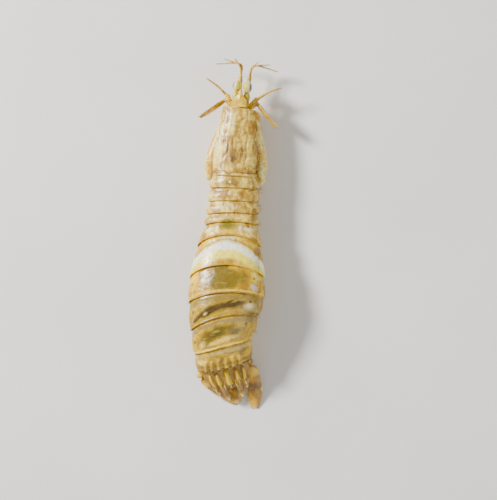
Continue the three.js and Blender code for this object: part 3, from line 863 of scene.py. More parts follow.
def geometry_tree(
    name: str, inputs: dict[str, tuple[str, object]]
) -> tuple[bpy.types.NodeTree, Board, dict[str, Socket]]:
    """Start a Geometry Nodes tree with named inputs.

    Args:
        name: The tree's name.
        inputs: Socket type and default by name.

    Returns:
        The tree, its board and its input sockets.
    """
    tree = bpy.data.node_groups.new(name, "GeometryNodeTree")
    tree.interface.new_socket(name="Geometry", in_out="INPUT", socket_type="NodeSocketGeometry")
    for key, (kind, value) in inputs.items():
        made = tree.interface.new_socket(name=key, in_out="INPUT", socket_type=kind)
        if value is not None:
            made.default_value = value
    tree.interface.new_socket(name="Geometry", in_out="OUTPUT", socket_type="NodeSocketGeometry")
    board = Board(tree)
    source = board.add("NodeGroupInput")
    return tree, board, {key: source.outputs[key] for key in ["Geometry", *inputs]}


def instances(
    board: Board, given: dict[str, Socket], shape: Socket, way: Socket, size: Sequence[Socket]
) -> Socket:
    """Real copies of a shape along the tree's line.

    Args:
        board: The tree's board.
        given: Its inputs.
        shape: The shape.
        way: How each copy is turned.
        size: Its scale on three axes.

    Returns:
        The copies.
    """
    line = board.add("GeometryNodeMeshToCurve", {0: given["Geometry"]})
    points = board.add("GeometryNodeResampleCurve", {"Curve": line.outputs[0], "Count": given["Count"]})
    scale = board.add("ShaderNodeCombineXYZ", dict(enumerate(size)))
    inputs = {"Points": points.outputs[0], "Instance": shape, "Rotation": way, "Scale": scale.outputs[0]}
    rows = board.add("GeometryNodeInstanceOnPoints", inputs)
    return board.add("GeometryNodeRealizeInstances", {0: rows.outputs[0]}).outputs[0]


def finished(board: Board, given: dict[str, Socket], made: Socket) -> None:
    """Give what a tree makes its finish and send it out."""
    done = board.add("GeometryNodeSetMaterial", {"Geometry": made, "Material": given["Finish"]})
    board.add("NodeGroupOutput", {0: done.outputs[0]})


def bristle_tree() -> bpy.types.NodeTree:
    """Tapered bristles in a row along a line, each leaning the way that the line's attribute "out" says.

    Returns:
        The tree.
    """
    if "Bristle row" in bpy.data.node_groups:
        return bpy.data.node_groups["Bristle row"]
    inputs = {
        "Count": ("NodeSocketInt", 40),
        "Length": ("NodeSocketFloat", 0.0006),
        "Thickness": ("NodeSocketFloat", 0.00003),
        "Spread": ("NodeSocketFloat", 0.2),
        "Sides": ("NodeSocketInt", 4),
        "Seed": ("NodeSocketInt", 1),
        "Finish": ("NodeSocketMaterial", None),
    }
    tree, board, given = geometry_tree("Bristle row", inputs)
    cone = board.add(
        "GeometryNodeMeshCone",
        {
            "Vertices": given["Sides"], "Radius Top": 0.12, "Radius Bottom": 1.0,
            "Depth": 1.0, "Side Segments": 2,
        },
        fill_type="TRIANGLE_FAN",
    )
    out = board.add("GeometryNodeInputNamedAttribute", {"Name": "out"}, data_type="FLOAT_VECTOR")
    shake = board.add("FunctionNodeRandomValue", {"Seed": given["Seed"]}, data_type="FLOAT_VECTOR")
    for axis in range(3):
        shake.inputs[0].default_value[axis] = -1.0
        shake.inputs[1].default_value[axis] = 1.0
    loose = board.add(
        "ShaderNodeVectorMath", {0: shake.outputs[0], "Scale": given["Spread"]}, operation="SCALE"
    )
    lean = board.add("ShaderNodeVectorMath", {0: out.outputs[0], 1: loose.outputs[0]}, operation="ADD")
    way = board.add("FunctionNodeAlignRotationToVector", {"Vector": lean.outputs[0]}, axis="Z")
    size = board.add("FunctionNodeRandomValue", {"Seed": given["Seed"]}, data_type="FLOAT")
    size.inputs[2].default_value, size.inputs[3].default_value = 0.75, 1.1
    tall = board.math("MULTIPLY", size.outputs[1], given["Length"])
    size = (given["Thickness"], given["Thickness"], tall)
    finished(board, given, instances(board, given, cone.outputs[0], way.outputs[0], size))
    return tree


def ring_tree() -> bpy.types.NodeTree:
    """Short rings along a line, as on a feeler's whip, narrower towards its tip.

    Returns:
        The tree.
    """
    if "Ringed whip" in bpy.data.node_groups:
        return bpy.data.node_groups["Ringed whip"]
    inputs = {
        "Count": ("NodeSocketInt", 30),
        "Thickness": ("NodeSocketFloat", 0.0002),
        "Tip": ("NodeSocketFloat", 0.4),
        "Ring": ("NodeSocketFloat", 0.0001),
        "Finish": ("NodeSocketMaterial", None),
    }
    tree, board, given = geometry_tree("Ringed whip", inputs)
    tangent = board.add("GeometryNodeInputTangent")
    way = board.add("FunctionNodeAlignRotationToVector", {"Vector": tangent.outputs[0]}, axis="Z")
    share = board.add("GeometryNodeSplineParameter")
    left = board.math("MULTIPLY", share.outputs[0], board.math("SUBTRACT", 1.0, given["Tip"]))
    wide = board.math("MULTIPLY", board.math("SUBTRACT", 1.0, left), given["Thickness"])
    bead = board.add("GeometryNodeMeshUVSphere", {"Segments": 10, "Rings": 6, "Radius": 1.0})
    rings = instances(board, given, bead.outputs[0], way.outputs[0], (wide, wide, given["Ring"]))
    finished(board, given, board.add("GeometryNodeSetShadeSmooth", {0: rings}).outputs[0])
    return tree


@dataclass
class Row:
    """A line that bristles or rings stand on, with the way out at each of its points."""

    points: np.ndarray
    out: np.ndarray


def grow(name: str, rows: Sequence[Row], tree: bpy.types.NodeTree, finish: Finish, **inputs: float) -> None:
    """Grow bristles or rings on lines, as one plain mesh.

    Args:
        name: The piece's name.
        rows: The lines, in millimetres.
        tree: The Geometry Nodes tree.
        finish: The finish of what grows.
        **inputs: The tree's inputs by name; lengths in metres.
    """
    mesh = bpy.data.meshes.new(name)
    points = np.concatenate([row.points for row in rows])
    starts = np.cumsum([0] + [len(row.points) for row in rows])
    edges = [(i, i + 1) for a, b in zip(starts[:-1], starts[1:]) for i in range(a, b - 1)]
    mesh.from_pydata((points * MM).tolist(), edges, [])
    out = np.concatenate([np.broadcast_to(row.out, row.points.shape) for row in rows])
    mesh.attributes.new("out", "FLOAT_VECTOR", "POINT").data.foreach_set("vector", out.reshape(-1))
    piece = bpy.data.objects.new(name, mesh)
    bpy.context.scene.collection.objects.link(piece)
    modifier = piece.modifiers.new("grow", "NODES")
    modifier.node_group = tree
    named = {item.name: item.identifier for item in tree.interface.items_tree if item.in_out == "INPUT"}
    for key, value in {**inputs, "Finish": finish.material()}.items():
        modifier[named[key]] = value
    grown = piece.evaluated_get(bpy.context.evaluated_depsgraph_get())
    piece.data = bpy.data.meshes.new_from_object(grown)
    for vertex in piece.data.vertices:
        vertex.co.z = max(vertex.co.z, 0.0)
    piece.modifiers.clear()
    bpy.data.meshes.remove(mesh)
    piece.data.name = name
    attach(piece, "root")
    log.info("%s: %d faces", name, len(piece.data.polygons))


def blade_fringe(
    path: Path,
    half: HalfWidths,
    flat: Sequence[float],
    t: np.ndarray,
    lean: float,
    place: np.ndarray | None = None,
    inset: float = 0.96,
) -> list[Row]:
    """Lines just inside both edges of a blade, with bristles that lean towards its tip.

    Args:
        path: The blade's middle line.
        half: Its half widths.
        flat: The way that its width faces.
        t: Places along it.
        lean: How strongly the bristles lean.
        place: Placing matrix of its group.
        inset: Share of the half width at which they stand.

    Returns:
        One line for each edge.
    """
    rows = []
    for edge in (1, -1):
        ahead = path.ahead(t)
        away = unit(np.cross(ahead, flat)) * edge
        line = moved(path.at(t) + away * (half(t)[0] * inset)[:, None], place)
        out = unit(away + ahead * lean)
        rows.append(Row(line, out if place is None else out @ place[:3, :3].T))
    return rows


# The body's axis


@dataclass(frozen=True)
class Plate:
    """Sizes of one body plate: its run along the axis and its rear edge, in millimetres and degrees."""

    name: str
    length: float
    heading: float
    wide: float
    top: float
    deep: float
    climb: float = 0.0
    turn: float = 0.0
    lean: float = 0.0
    bow: float = 0.0


PLATES = (
    Plate("carapace", 10.9, -4.6, 3.9, 2.75, 1.5, turn=-3),
    Plate("thorax_5", 1.9, -4, 4, 2.45, 1.5, turn=-2, lean=2, bow=0.1),
    Plate("thorax_6", 2.1, -3, 4.15, 2.5, 1.5, turn=-1, lean=3, bow=0.15),
    Plate("thorax_7", 1.95, -4, 4.25, 2.55, 1.5, climb=1, lean=4, bow=0.2),
    Plate("thorax_8", 1.65, -5.5, 4.35, 2.6, 1.5, climb=3, lean=8, bow=0.3),
    Plate("abdomen_1", 2.8, -6, 5.2, 3, 1.6, climb=6, lean=20, bow=1),
    Plate("abdomen_2", 4.9, -3.5, 6.1, 3.6, 1.8, climb=7, turn=1, lean=18, bow=1.1),
    Plate("abdomen_3", 4, -1.5, 6.15, 3.75, 1.9, climb=3, turn=4, lean=11, bow=0.8),
    Plate("abdomen_4", 3.5, -7, 5.65, 3.5, 1.8, climb=-2, turn=13, lean=4, bow=0.9),
    Plate("abdomen_5", 4.25, -4, 4.95, 2.95, 1.5, climb=-10, turn=15, lean=-12, bow=0.2),
    Plate("abdomen_6", 3.4, 3, 4.5, 2.2, 1.1, climb=-17, turn=13, lean=-20),
)


class Axes:
    """A frame: its middle at, and its ways left, tail and up."""

    def point(self, left: np.ndarray | float, tail: np.ndarray | float, up: np.ndarray | float) -> np.ndarray:
        """Places so far to the left, to the tail and up."""
        parts = np.broadcast_arrays(left, tail, up)
        return self.at + sum(p[..., None] * way for p, way in zip(parts, (self.left, self.tail, self.up)))


@dataclass(frozen=True)
class Station(Axes):
    """A frame on the body's axis: its middle, how it stands and the body's half sizes there."""

    at: np.ndarray
    turn: float
    lean: float
    bow: float
    wide: float
    top: float
    deep: float

    @property
    def left(self) -> np.ndarray:
        """Way to the animal's left."""
        return np.array([math.cos(math.radians(self.turn)), math.sin(math.radians(self.turn)), 0.0])

    @property
    def tail(self) -> np.ndarray:
        """Way to the tail."""
        return np.array([-math.sin(math.radians(self.turn)), math.cos(math.radians(self.turn)), 0.0])

    @property
    def up(self) -> np.ndarray:
        """Way up, square to the axis."""
        lean = math.radians(self.lean)
        return np.array([0.0, 0.0, math.cos(lean)]) - self.tail * math.sin(lean)

    def to(self, rear: "Station", t: float, shift: float = 0.0) -> "Station":
        """Frame part of the way to another, moved on by shift along the axis.

        Args:
            rear: The other frame.
            t: Share of the way.
            shift: How far to move it towards the tail.

        Returns:
            The mixed frame.
        """
        keys = ("turn", "lean", "bow", "wide", "top", "deep")
        mixed = {key: lerp(getattr(self, key), getattr(rear, key), t) for key in keys}
        return Station(at=lerp(self.at, rear.at, t) + self.tail * shift, **mixed)


def find_stations() -> dict[str, Station]:
    """Follow the axis from the carapace's front edge to the tail.

    Returns:
        The rear frame of each plate by name, and the frame at the start.
    """
    at = np.array([-0.74, -20.0, 4.6])
    stations = {"start": Station(at, -8, 0, 0, 2.75, 2.1, 1.3)}
    for plate in PLATES:
        heading, climb = math.radians(plate.heading), math.radians(plate.climb)
        run = plate.length * math.cos(climb)
        at = at + [-math.sin(heading) * run, math.cos(heading) * run, plate.length * math.sin(climb)]
        stations[plate.name] = Station(
            at, plate.turn, plate.lean, plate.bow, plate.wide, plate.top, plate.deep
        )
    return stations


STATIONS = find_stations()


def half_section(
    w: np.ndarray, frame_at: Station, wide: float, top: float, hang: float
) -> tuple[np.ndarray, ...]:
    """Section of the body: a dome, flanks that hang over the belly, and the belly.

    Args:
        w: Place round the section, 0 on the back and -1 or 1 in the middle of the belly.
        frame_at: The frame that it stands in.
        wide: Half width.
        top: Height over the axis.
        hang: How far the flanks hang under the axis.

    Returns:
        Distance to the left, height over the axis, and the surface value across.
    """
    v, sign = np.abs(w), np.sign(w)
    angle = (1 - np.clip(v / DOME, 0, 1)) * math.pi / 2
    x = wide * np.cos(angle) ** ROUND
    z = top * np.sin(angle) ** ROUND
    flank = np.clip((v - DOME) / 0.09, 0, 1)
    tuck = smooth((v - DOME - 0.09) / 0.05)
    under = np.clip((v - DOME - 0.12) / (1 - DOME - 0.12), 0, 1)
    x = np.where(v > DOME, wide * (1 - 0.015 * flank**2) - tuck * wide * 0.15, x)
    z = np.where(v > DOME, -hang * np.sin(flank * math.pi / 2) + 0.1 * tuck, z)
    belly = smooth((v - DOME - 0.13) / 0.04)
    across = np.cos(under * math.pi / 2) ** 0.55
    depth = np.sin(under * math.pi / 2) ** 0.7
    x = lerp(x, wide * 0.84 * across, belly)
    z = lerp(z, -np.maximum(hang - 0.1, frame_at.deep * depth), belly)
    return sign * x, z, sign * np.where(v > DOME, wide + (v - DOME) * 6, x)


class Relief(Enum):
    """The kinds of body plate."""

    THORAX = "thorax"
    ABDOMEN = "abdomen"
    LAST = "last"


@dataclass
class TrunkPlate:
    """A ring of the body: a hard back plate with a raised rear rim, hanging flanks and a soft belly."""

    name: str
    front: Station
    rear: Station
    relief: Relief
    finish: Finish
    hang: float = 0.5
    rim: float = 0.06
    around: int = 200
    tucked: float = 0.75

    def carving(self, t: float, x: np.ndarray, v: np.ndarray) -> np.ndarray:
        """Height of ridges and grooves over the plain plate.

        Args:
            t: Place along the plate.
            x: Distance from the midline in millimetres, to the left.
            v: Place round the section, 0 to 1.

        Returns:
            Heights in millimetres.
        """
        hard = 1 - smooth((v - 0.76) / 0.03)
        high = self.rim * (hill(t, 0.97, 0.05) - 0.67 * hill(t, 0.905, 0.035))
        high = high - 0.03 * hill(t, 0.22, 0.03) + 0 * x
        started = smooth((t - 0.2) / 0.15)
        if self.relief is Relief.THORAX:
            high += 0.07 * hill(v, 0.33, 0.035) * started - 0.06 * hill(v, 0.39, 0.03) * started
            high += 0.12 * hill(v, 0.52, 0.1) * hill(t, 0.55, 0.4)
            high -= 0.16 * smooth((t - 0.75) / 0.25) * hill(v, 0.6, 0.18)
            high += 0.03 * hill(np.abs(x), 0.45, 0.3) * started
        elif self.relief is Relief.ABDOMEN:
            high -= 0.06 * hill(v, 0.47 - 0.05 * t, 0.022) * started
            high += 0.07 * hill(v, 0.505 - 0.05 * t, 0.03) * started
            high -= 0.05 * hill(v, 0.6, 0.02) * started
            high -= 0.02 * hill(np.abs(x), 0.0, 0.15) * started
        else:
            for out, size in ((0.62, 0.52), (1.75, 0.54), (2.75, 0.5)):
                along = smooth((t - 0.34) / 0.2) * (1 - smooth((t - 0.93) / 0.07))
                high += 0.34 * hill(np.abs(x), out, size) * along
        return high * hard

    def skin(self) -> Skin:
        """Build the ring.

        Returns:
            Its surfaces.
        """
        length = float(np.linalg.norm(self.rear.at - self.front.at))
        start = -self.tucked / length
        t = np.concatenate(
            [np.linspace(start, 0, 6)[:-1], np.linspace(0, 0.86, 26)[:-1], np.linspace(0.86, 1, 16)],
        )
        lip = np.concatenate([np.zeros(len(t) - 3), [0.0, 0.015, 0.05], [0.13, 0.2, 0.26]])
        t = np.concatenate([t, [1.0, 0.985, 0.95]])
        w = np.linspace(-1, 1, self.around, endpoint=False)
        v = np.abs(w)
        rows, highs, across = [], [], []
        for along, shrink in zip(t, lip):
            at = self.front.to(self.rear, along, GAP * (1 - max(along, 0)))
            proud = STEP * (1 - smooth(min(1, along * 1.6))) + (0.12 if along < 0 else 0)
            swelling = BULGE * math.sin(math.pi * max(along, 0)) - proud - shrink - 0.05
            shrink = shrink + 0.05 * (1 - smooth((along - 0.13) / 0.08))
            hang = self.hang * (1 - 0.45 * abs(2 * along - 1) ** 3) if along >= 0 else self.hang * 0.5
            x, z, s = half_section(w, at, at.wide + swelling, at.top - proud - shrink - 0.09, hang)
            edge = at.bow * np.clip(np.abs(x) / at.wide, 0, 1) ** 2 * (v < 0.8)
            high = self.carving(along, x, v)
            out = unit(np.stack([x / at.wide**2, z / at.top**2], axis=-1))
            high = high + 0.012 * unrest(
                np.stack([x, 0 * x + along * length, z], axis=-1), 1.5, len(self.name)
            )
            rows.append(at.point(x + out[:, 0] * high, edge, z + out[:, 1] * high))
            highs.append(high)
            across.append(s)
        skin = Skin()
        under = np.broadcast_to(smooth((v - 0.74) / 0.05), (len(t), len(w)))
        skin.rings(
            np.array(rows), along=t[:, None], across=np.array(across), under=under, rise=np.array(highs)
        )
        if self.relief is Relief.LAST:
            self.add_spines(skin)
        return skin

    def add_spines(self, skin: Skin) -> None:
        """Add the short spines that the last plate's bosses end in."""
        rear = self.rear
        for out in (0.62, 1.75, 2.75):
            for _, side in SIDES:
                drop = rear.top * (1 - math.sqrt(1 - (out / rear.wide) ** 2))
                base = rear.point(side * out, -0.75, rear.top - drop + 0.02)
                tip = rear.point(side * out, 0.22, rear.top - drop + 0.08)
                skin.tube(Path(base, tip), taper(0.24, 0.2, 0.3, 1.6), around=14, along=14, value_from=0.9)

    def build(self) -> None:
        """Put the ring in the scene."""
        add_piece(f"{self.name}_plate", self.skin(), self.finish, self.name)


# The head and the carapace


@dataclass
class Shield:
    """The carapace: a thin shield with rounded rear corners over a narrower trunk."""

    finish: Finish
    thick: float = 0.34
    hem: float = 0.7
    corner: float = 0.74
    rear_wide: float = 2.3
    trunk_wide: float = 2.75

    def at(self, t: float) -> Station:
        """Frame part of the way along the carapace."""
        return STATIONS["start"].to(STATIONS["carapace"], t)

    def half_wide(self, t: float) -> float:
        """Half width of the shield at t."""
        return self.at(t).wide * (1 + 0.1 * math.sin(math.pi * min(1, t * 1.1)))

    def hem_angle(self, t: float) -> float:
        """How far down its side the shield reaches at t, as an angle over the axis."""
        flank = math.asin(self.hem / self.at(t).top)
        past = max(0.0, (t - self.corner) / (1 - self.corner))
        rear = math.acos(self.rear_wide / self.half_wide(1))
        return lerp(flank, rear, 1 - math.sqrt(1 - past * past))

    def carving(self, t: float, x: np.ndarray, share: np.ndarray) -> np.ndarray:
        """Height of the grooves, ridges and hem at place t, distance x and share of the way round."""
        edge = np.minimum(share, 1 - share)
        wander = 0.07 * np.sin(t * 23 + np.sign(x)) + 0.05 * np.sin(t * 51)
        gastric = np.interp(t, [0, 0.3, 0.5, 1], [1.55, 1.62, 1.85, 2.0]) + wander
        high = -0.085 * hill(np.abs(x), gastric, 0.26) * (0.65 + 0.35 * math.sin(t * 37))
        high = high * (1 - smooth((t - 0.88) / 0.06))
        high += 0.035 * hill(np.abs(x), gastric - 0.5, 0.4)
        flank = np.interp(t, [0, 0.3, 0.42, 0.55, 0.75, 1], [2.75, 3.1, 2.8, 3.4, 3.7, 3.4]) + wander * 0.6
        high -= 0.08 * hill(np.abs(x), flank, 0.2) * smooth((0.97 - t) / 0.05)
        high -= 0.04 * hill(t, 0.42 + 0.02 * np.abs(x), 0.025) * smooth((np.abs(x) - gastric) / 0.3)
        high += 0.03 * np.sin(
            np.abs(x) * 9 + 2.5 * np.sin(t * 14),
        ) * hill(t, 0.45, 0.45) * hill(np.abs(x), 2.0, 1.9)
        high += 0.07 * hill(edge, 0.012, 0.02) - 0.04 * hill(edge, 0.045, 0.018)
        high += 0.06 * hill(t, 0.985, 0.022) - 0.05 * hill(t, 0.945, 0.02)
        return high + 0.05 * hill(t, 0.012, 0.02)

    def skin(self) -> Skin:
        """Build the shield.

        Returns:
            Its surfaces.
        """
        t = np.concatenate(
            [np.linspace(0, 0.06, 8)[:-1], np.linspace(0.06, 0.9, 46)[:-1], np.linspace(0.9, 1, 22)],
        )
        share = np.linspace(0, 1, 170)
        outer, inner, highs, across = [], [], [], []
        for along in t:
            at, wide, low = self.at(along), self.half_wide(along), self.hem_angle(along)
            angle = lerp(low, math.pi - low, share)
            c, s = np.cos(angle), np.sin(angle)
            end = self.thick * 0.45 * (hill(along, 0, 0.012) + hill(along, 1, 0.01))
            hemmed = self.thick * 0.4 * (hill(share, 0, 0.012) + hill(share, 1, 0.012))
            for rows, drop in ((outer, end + hemmed), (inner, self.thick - 0 * share)):
                x = (wide - drop) * np.sign(c) * np.abs(c) ** ROUND
                z = (at.top - drop) * s**ROUND
                high = self.carving(along, x, share) if rows is outer else 0 * x
                rough = 0.014 * unrest(np.stack([x, 0 * x + along * 10.9, z], axis=-1), 1.7, 3)
                out = unit(np.stack([x / wide**2, z / at.top**2], axis=-1))
                high = high + (rough if rows is outer else 0)
                rows.append(at.point(x + out[:, 0] * high, 0.0, z + out[:, 1] * high))
                if rows is outer:
                    highs.append(high)
                    across.append(x)
        skin = Skin()
        skin.shell(
            np.array(outer), np.array(inner), along=t[:, None], across=np.array(across), rise=np.array(highs)
        )
        return skin

    def trunk(self) -> Skin:
        """Build the soft trunk under the shield.

        Returns:
            Its surfaces.
        """
        skin = Skin()
        w = np.linspace(-1, 1, 90, endpoint=False)
        t = np.linspace(0.0, 1.03, 40)
        rows = []
        for along in t:
            at = self.at(along)
            wide = min(
                self.trunk_wide, at.wide - 1.1
            ) - 0.3 * hill(along, 0, 0.05) - 0.05 * math.sin(along * 50)
            x, z, _ = half_section(w, at, wide, at.top - 0.75, 0.6)
            rows.append(at.point(x, 0.0, z))
        skin.rings(np.array(rows), along=t[:, None], across=np.array(w)[None], under=0.0)
        return skin

    def build(self) -> None:
        """Put the shield and the trunk in the scene."""
        add_piece("carapace_shield", self.skin(), self.finish, "carapace")
        add_piece("trunk_wall", self.trunk(), SOFT, "cephalothorax")


@dataclass
class Face:
    """Rostral plate, head, mouthparts, eyes and feelers, in the frame of the head."""

    rostrum: Finish
    cornea: tuple[CorneaFinish, CorneaFinish]
    stalk: Finish

    def __post_init__(self) -> None:
        """Find the head's frame."""
        self.frame = STATIONS["start"]
        self.place = turned(self.frame.turn, at=self.frame.at)

    def rostral_plate(self) -> Skin:
        """Build the three-cornered plate with its long spine.

        Returns:
            Its surfaces.
        """
        long, wide, thick, spine = 1.75, 2.6, 0.55, 1.0
        shoulder = wide * 0.42
        t = np.concatenate([[0, 0.004, 0.015], np.linspace(0.03, 0.97, 50), [0.985, 0.996, 1.0]])
        close = np.concatenate([[0.8, 0.92, 0.98], np.ones(50), [0.9, 0.7, 0.3]])
        angle = np.linspace(0, 2 * math.pi, 72, endpoint=False)
        half = np.where(t < 0.45, lerp(wide / 2, shoulder, t / 0.45), lerp(shoulder, 0.16, (t - 0.45) / 0.55))
        half *= np.where(t < 0.46, 1, 1 - 0.35 * np.sin(math.pi * np.clip((t - 0.45) / 0.55, 0, 1)))
        x = (half * close)[:, None] * np.cos(angle)
        high = (thick / 2 * lerp(1, 0.55, t) * close)[:, None] * np.sin(angle)
        keel = 0.1 * hill(x, 0, 0.28) * (np.sin(angle) > 0) * hill(t, 0.6, 0.5)[:, None]
        hem = 0.07 * hill(np.abs(x), half[:, None] - 0.12, 0.14) * (np.sin(angle) > 0) * (t < 0.45)[:, None]
        lift = (self.frame.top - thick / 2 + 0.12 * np.sin(math.pi * t))[:, None]
        rows = self.frame.point(
            x, (0.12 - GAP - t * (long + spine - 0.05))[:, None], lift + high + keel + hem
        )
        skin = Skin()
        skin.rings(rows, along=t[:, None], across=x, under=smooth(-np.sin(angle))[None], rise=keel)
        return skin

    def head(self) -> Skin:
        """Build the front of the head and its jointed eye base.

        Returns:
            Its surfaces.
        """
        skin = Skin()
        t = np.linspace(0, 1, 26)
        angle = np.linspace(0, 2 * math.pi, 60, endpoint=False)
        share = lerp(1, 0.62, smooth(t)) * np.sqrt(1 - np.clip((t - 0.85) / 0.16, 0, 1) ** 2)
        folds = 1 - 0.05 * hill(t, 0.35, 0.06) - 0.05 * hill(t, 0.66, 0.05)
        rows = self.frame.point(
            (1.75 * share * folds)[:, None] * np.cos(angle),
            (0.3 - t * 2.05)[:, None],
            -0.35 - 0.15 * t[:, None] + (1.25 * share * folds)[:, None] * np.sin(angle),
        )
        skin.rings(rows, along=t[:, None], across=np.cos(angle)[None], under=smooth(-np.sin(angle))[None])
        return skin

    def mouth(self) -> Skin:
        """Build the upper lip and the two jaws.

        Returns:
            Its surfaces.
        """
        skin = Skin()
        skin.ball((0, 0.7, -2.35), (0.8, 0.95, 0.6), self.place)
        for _, side in SIDES:
            skin.ball((side * 0.75, 1.5, -2.3), (0.6, 0.95, 0.55), self.place, tilt=side * 8)
            for k in range(3):
                tooth = sided(side, (0.3, 1.15 + 0.3 * k, -2.45), (0.12, 1.1 + 0.3 * k, -2.75))
                skin.tube(tooth, taper(0.12, 0.12, 0.3), around=8, along=6, place=self.place)
        return skin

    def eye(self, name: str, side: int, cornea: CorneaFinish) -> None:
        """Build one eye and its stalk."""
        reach, long, wide, high, stalk = 1.35, 1.95, 1.45, 1.7, 0.95
        place = self.place @ turned(-side * 5, at=(side * 0.95, -reach, 0.96))
        stem = Skin()
        root = Path((0, 0.25, 0), (0, -stalk / 2, 0.02), (0, -stalk - 0.2, 0.05))
        stem.tube(
            root, jointed(swell(wide * 0.37, high * 0.34, 0.92, 1.05, 0.5), [0.35]), place=place, along=26
        )
        add_piece(f"eye_stalk_{name}", stem, self.stalk, f"eyestalk_{name}")
        globe = Skin()
        middle = -stalk - GAP - long / 2 + 0.12
        globe.ball((side * 0.08, middle, 0.05), (wide / 2, long / 2, high / 2), place, cut=0.86, finer=2)
        add_piece(f"eye_globe_{name}", globe, cornea, f"eye_{name}")

    def antennule(self, name: str, side: int) -> None:
        """Build one antennule: a jointed stem and three ringed whips."""
        long, thick = 3.3, 0.85
        place = self.place @ turned(at=(side * 0.6, -2.1, -0.75))
        stem = Skin()
        path = sided(side, (0, 0.15, 0), (0.05, -long / 2, 0.1), (0.15, -long, 0.2))
        stem.tube(path, jointed(taper(thick * 0.5, thick * 0.5, 0.72), [0.36, 0.68]), place=place, along=60)
        rows = []
        for reach, spread, lift in zip((3.2, 4.0, 4.6), (22, 48, 70), (0.9, 0.2, -0.5)):
            spread = math.radians(spread)
            tip = (
                side * (0.15 + reach * math.sin(spread)), -long - reach * math.cos(spread) * 0.8, 0.2 + lift
            )
            bend = (side * 0.35, -long - reach * 0.35, 0.2 + lift * 0.4)
            whip = Path((side * 0.13, 0.25 - long, 0.18), bend, tip)
            stem.tube(whip, taper(0.17, 0.17, 0.45), around=10, along=30, place=place)
            rows.append(Row(moved(whip.at(np.linspace(0.04, 0.97, 40)), place), np.zeros(3)))
        add_piece(f"antennule_stem_{name}", stem, LIMB, f"antennule_{name}")
        sizes = {"Count": 34, "Thickness": 0.00022, "Tip": 0.45, "Ring": 0.00006}
        grow(f"antennule_rings_{name}", rows, ring_tree(), LIMB, **sizes)

    def antenna(self, name: str, side: int) -> None:
        """Build one antenna: a jointed stem and a ringed whip."""
        place = self.place @ turned(at=(side * 2.1, -0.9, -0.1))
        lash = 5.2
        stem = Skin()
        path = sided(side, (-0.95, 0.7, -0.05), (-0.2, 0.1, -0.05), (0.15, -0.6, -0.05), (0.35, -1.2, -0.1))
        stem.tube(
            path, jointed(swell(0.55, 0.55, 0.8, 0.62, 0.45), [0.25, 0.52, 0.78]), place=place, along=56
        )
        whip = sided(
            side, (0.25, -0.8, -0.1), (lash * 0.4, -lash * 0.42, 0.35), (lash * 0.78, -lash * 0.62, 0.2)
        )
        stem.tube(whip, taper(0.21, 0.21, 0.4), around=10, along=30, place=place)
        add_piece(f"antenna_stem_{name}", stem, LIMB, f"antenna_{name}")
        line = Row(moved(whip.at(np.linspace(0.06, 0.97, 40)), place), np.zeros(3))
        sizes = {"Count": 44, "Thickness": 0.00027, "Tip": 0.5, "Ring": 0.00006}
        grow(f"antenna_rings_{name}", [line], ring_tree(), LIMB, **sizes)

    def scale(self, name: str, side: int) -> None:
        """Build one antennal scale: an oval blade on edge with a fringe of bristles."""
        long, wide, thick, flat = 4.9, 2.1, 0.6, (0.0, 1.0, 0.16)
        place = self.place @ turned(side * 42, at=(side * 2.75, -1.0, -0.25))
        spine = sided(side, (0.05, 0, 0), (long * 0.5, 0.1, 0.05), (long, 0, -0.1))

        def outline(t: np.ndarray) -> tuple[np.ndarray, np.ndarray]:
            """Half width of the blade and its half thickness."""
            half = wide / 2 * np.sin(math.pi * lerp(0.13, 0.95, t**0.85)) ** 0.7
            return half, thick / 2 * lerp(1.0, 0.6, t)

        def ribs(t: np.ndarray, angle: np.ndarray) -> np.ndarray:
            """Middle rib and thin rim."""
            return 0.07 * hill(np.cos(angle), 0.1, 0.22) - 0.05 * hill(
                np.abs(np.cos(angle)), 0.8, 0.12
            ) + 0 * t

        blade = Skin()
        blade.tube(spine, outline, flat=flat, around=60, along=50, place=place, relief=ribs)
        blade.tube(sided(side, (-0.75, 0.2, 0), (0.35, 0, 0)), taper(0.36, 0.36, 0.9), around=20, place=place)
        add_piece(f"antennal_scale_blade_{name}", blade, LIMB, f"antennal_scale_{name}")
        rows = blade_fringe(spine, outline, flat, np.linspace(0.18, 0.985, 60), 0.55, place)
        sizes = {"Count": 70, "Length": 0.00052, "Thickness": 0.000035, "Spread": 0.12, "Seed": 4 + side}
        grow(f"antennal_scale_fringe_{name}", rows, bristle_tree(), HAIR, **sizes)

    def build(self) -> None:
        """Put the face in the scene."""
        add_piece("rostral_plate_shield", self.rostral_plate(), self.rostrum, "rostral_plate")
        add_piece("head_wall", self.head(), LIMB, "head")
        add_piece("jaws", self.mouth(), PALE, "mouthparts")
        for (name, side), cornea in zip(SIDES, self.cornea):
            self.eye(name, side, cornea)
            self.antennule(name, side)
            self.antenna(name, side)
            self.scale(name, side)


# Claws, maxillipeds and walking legs


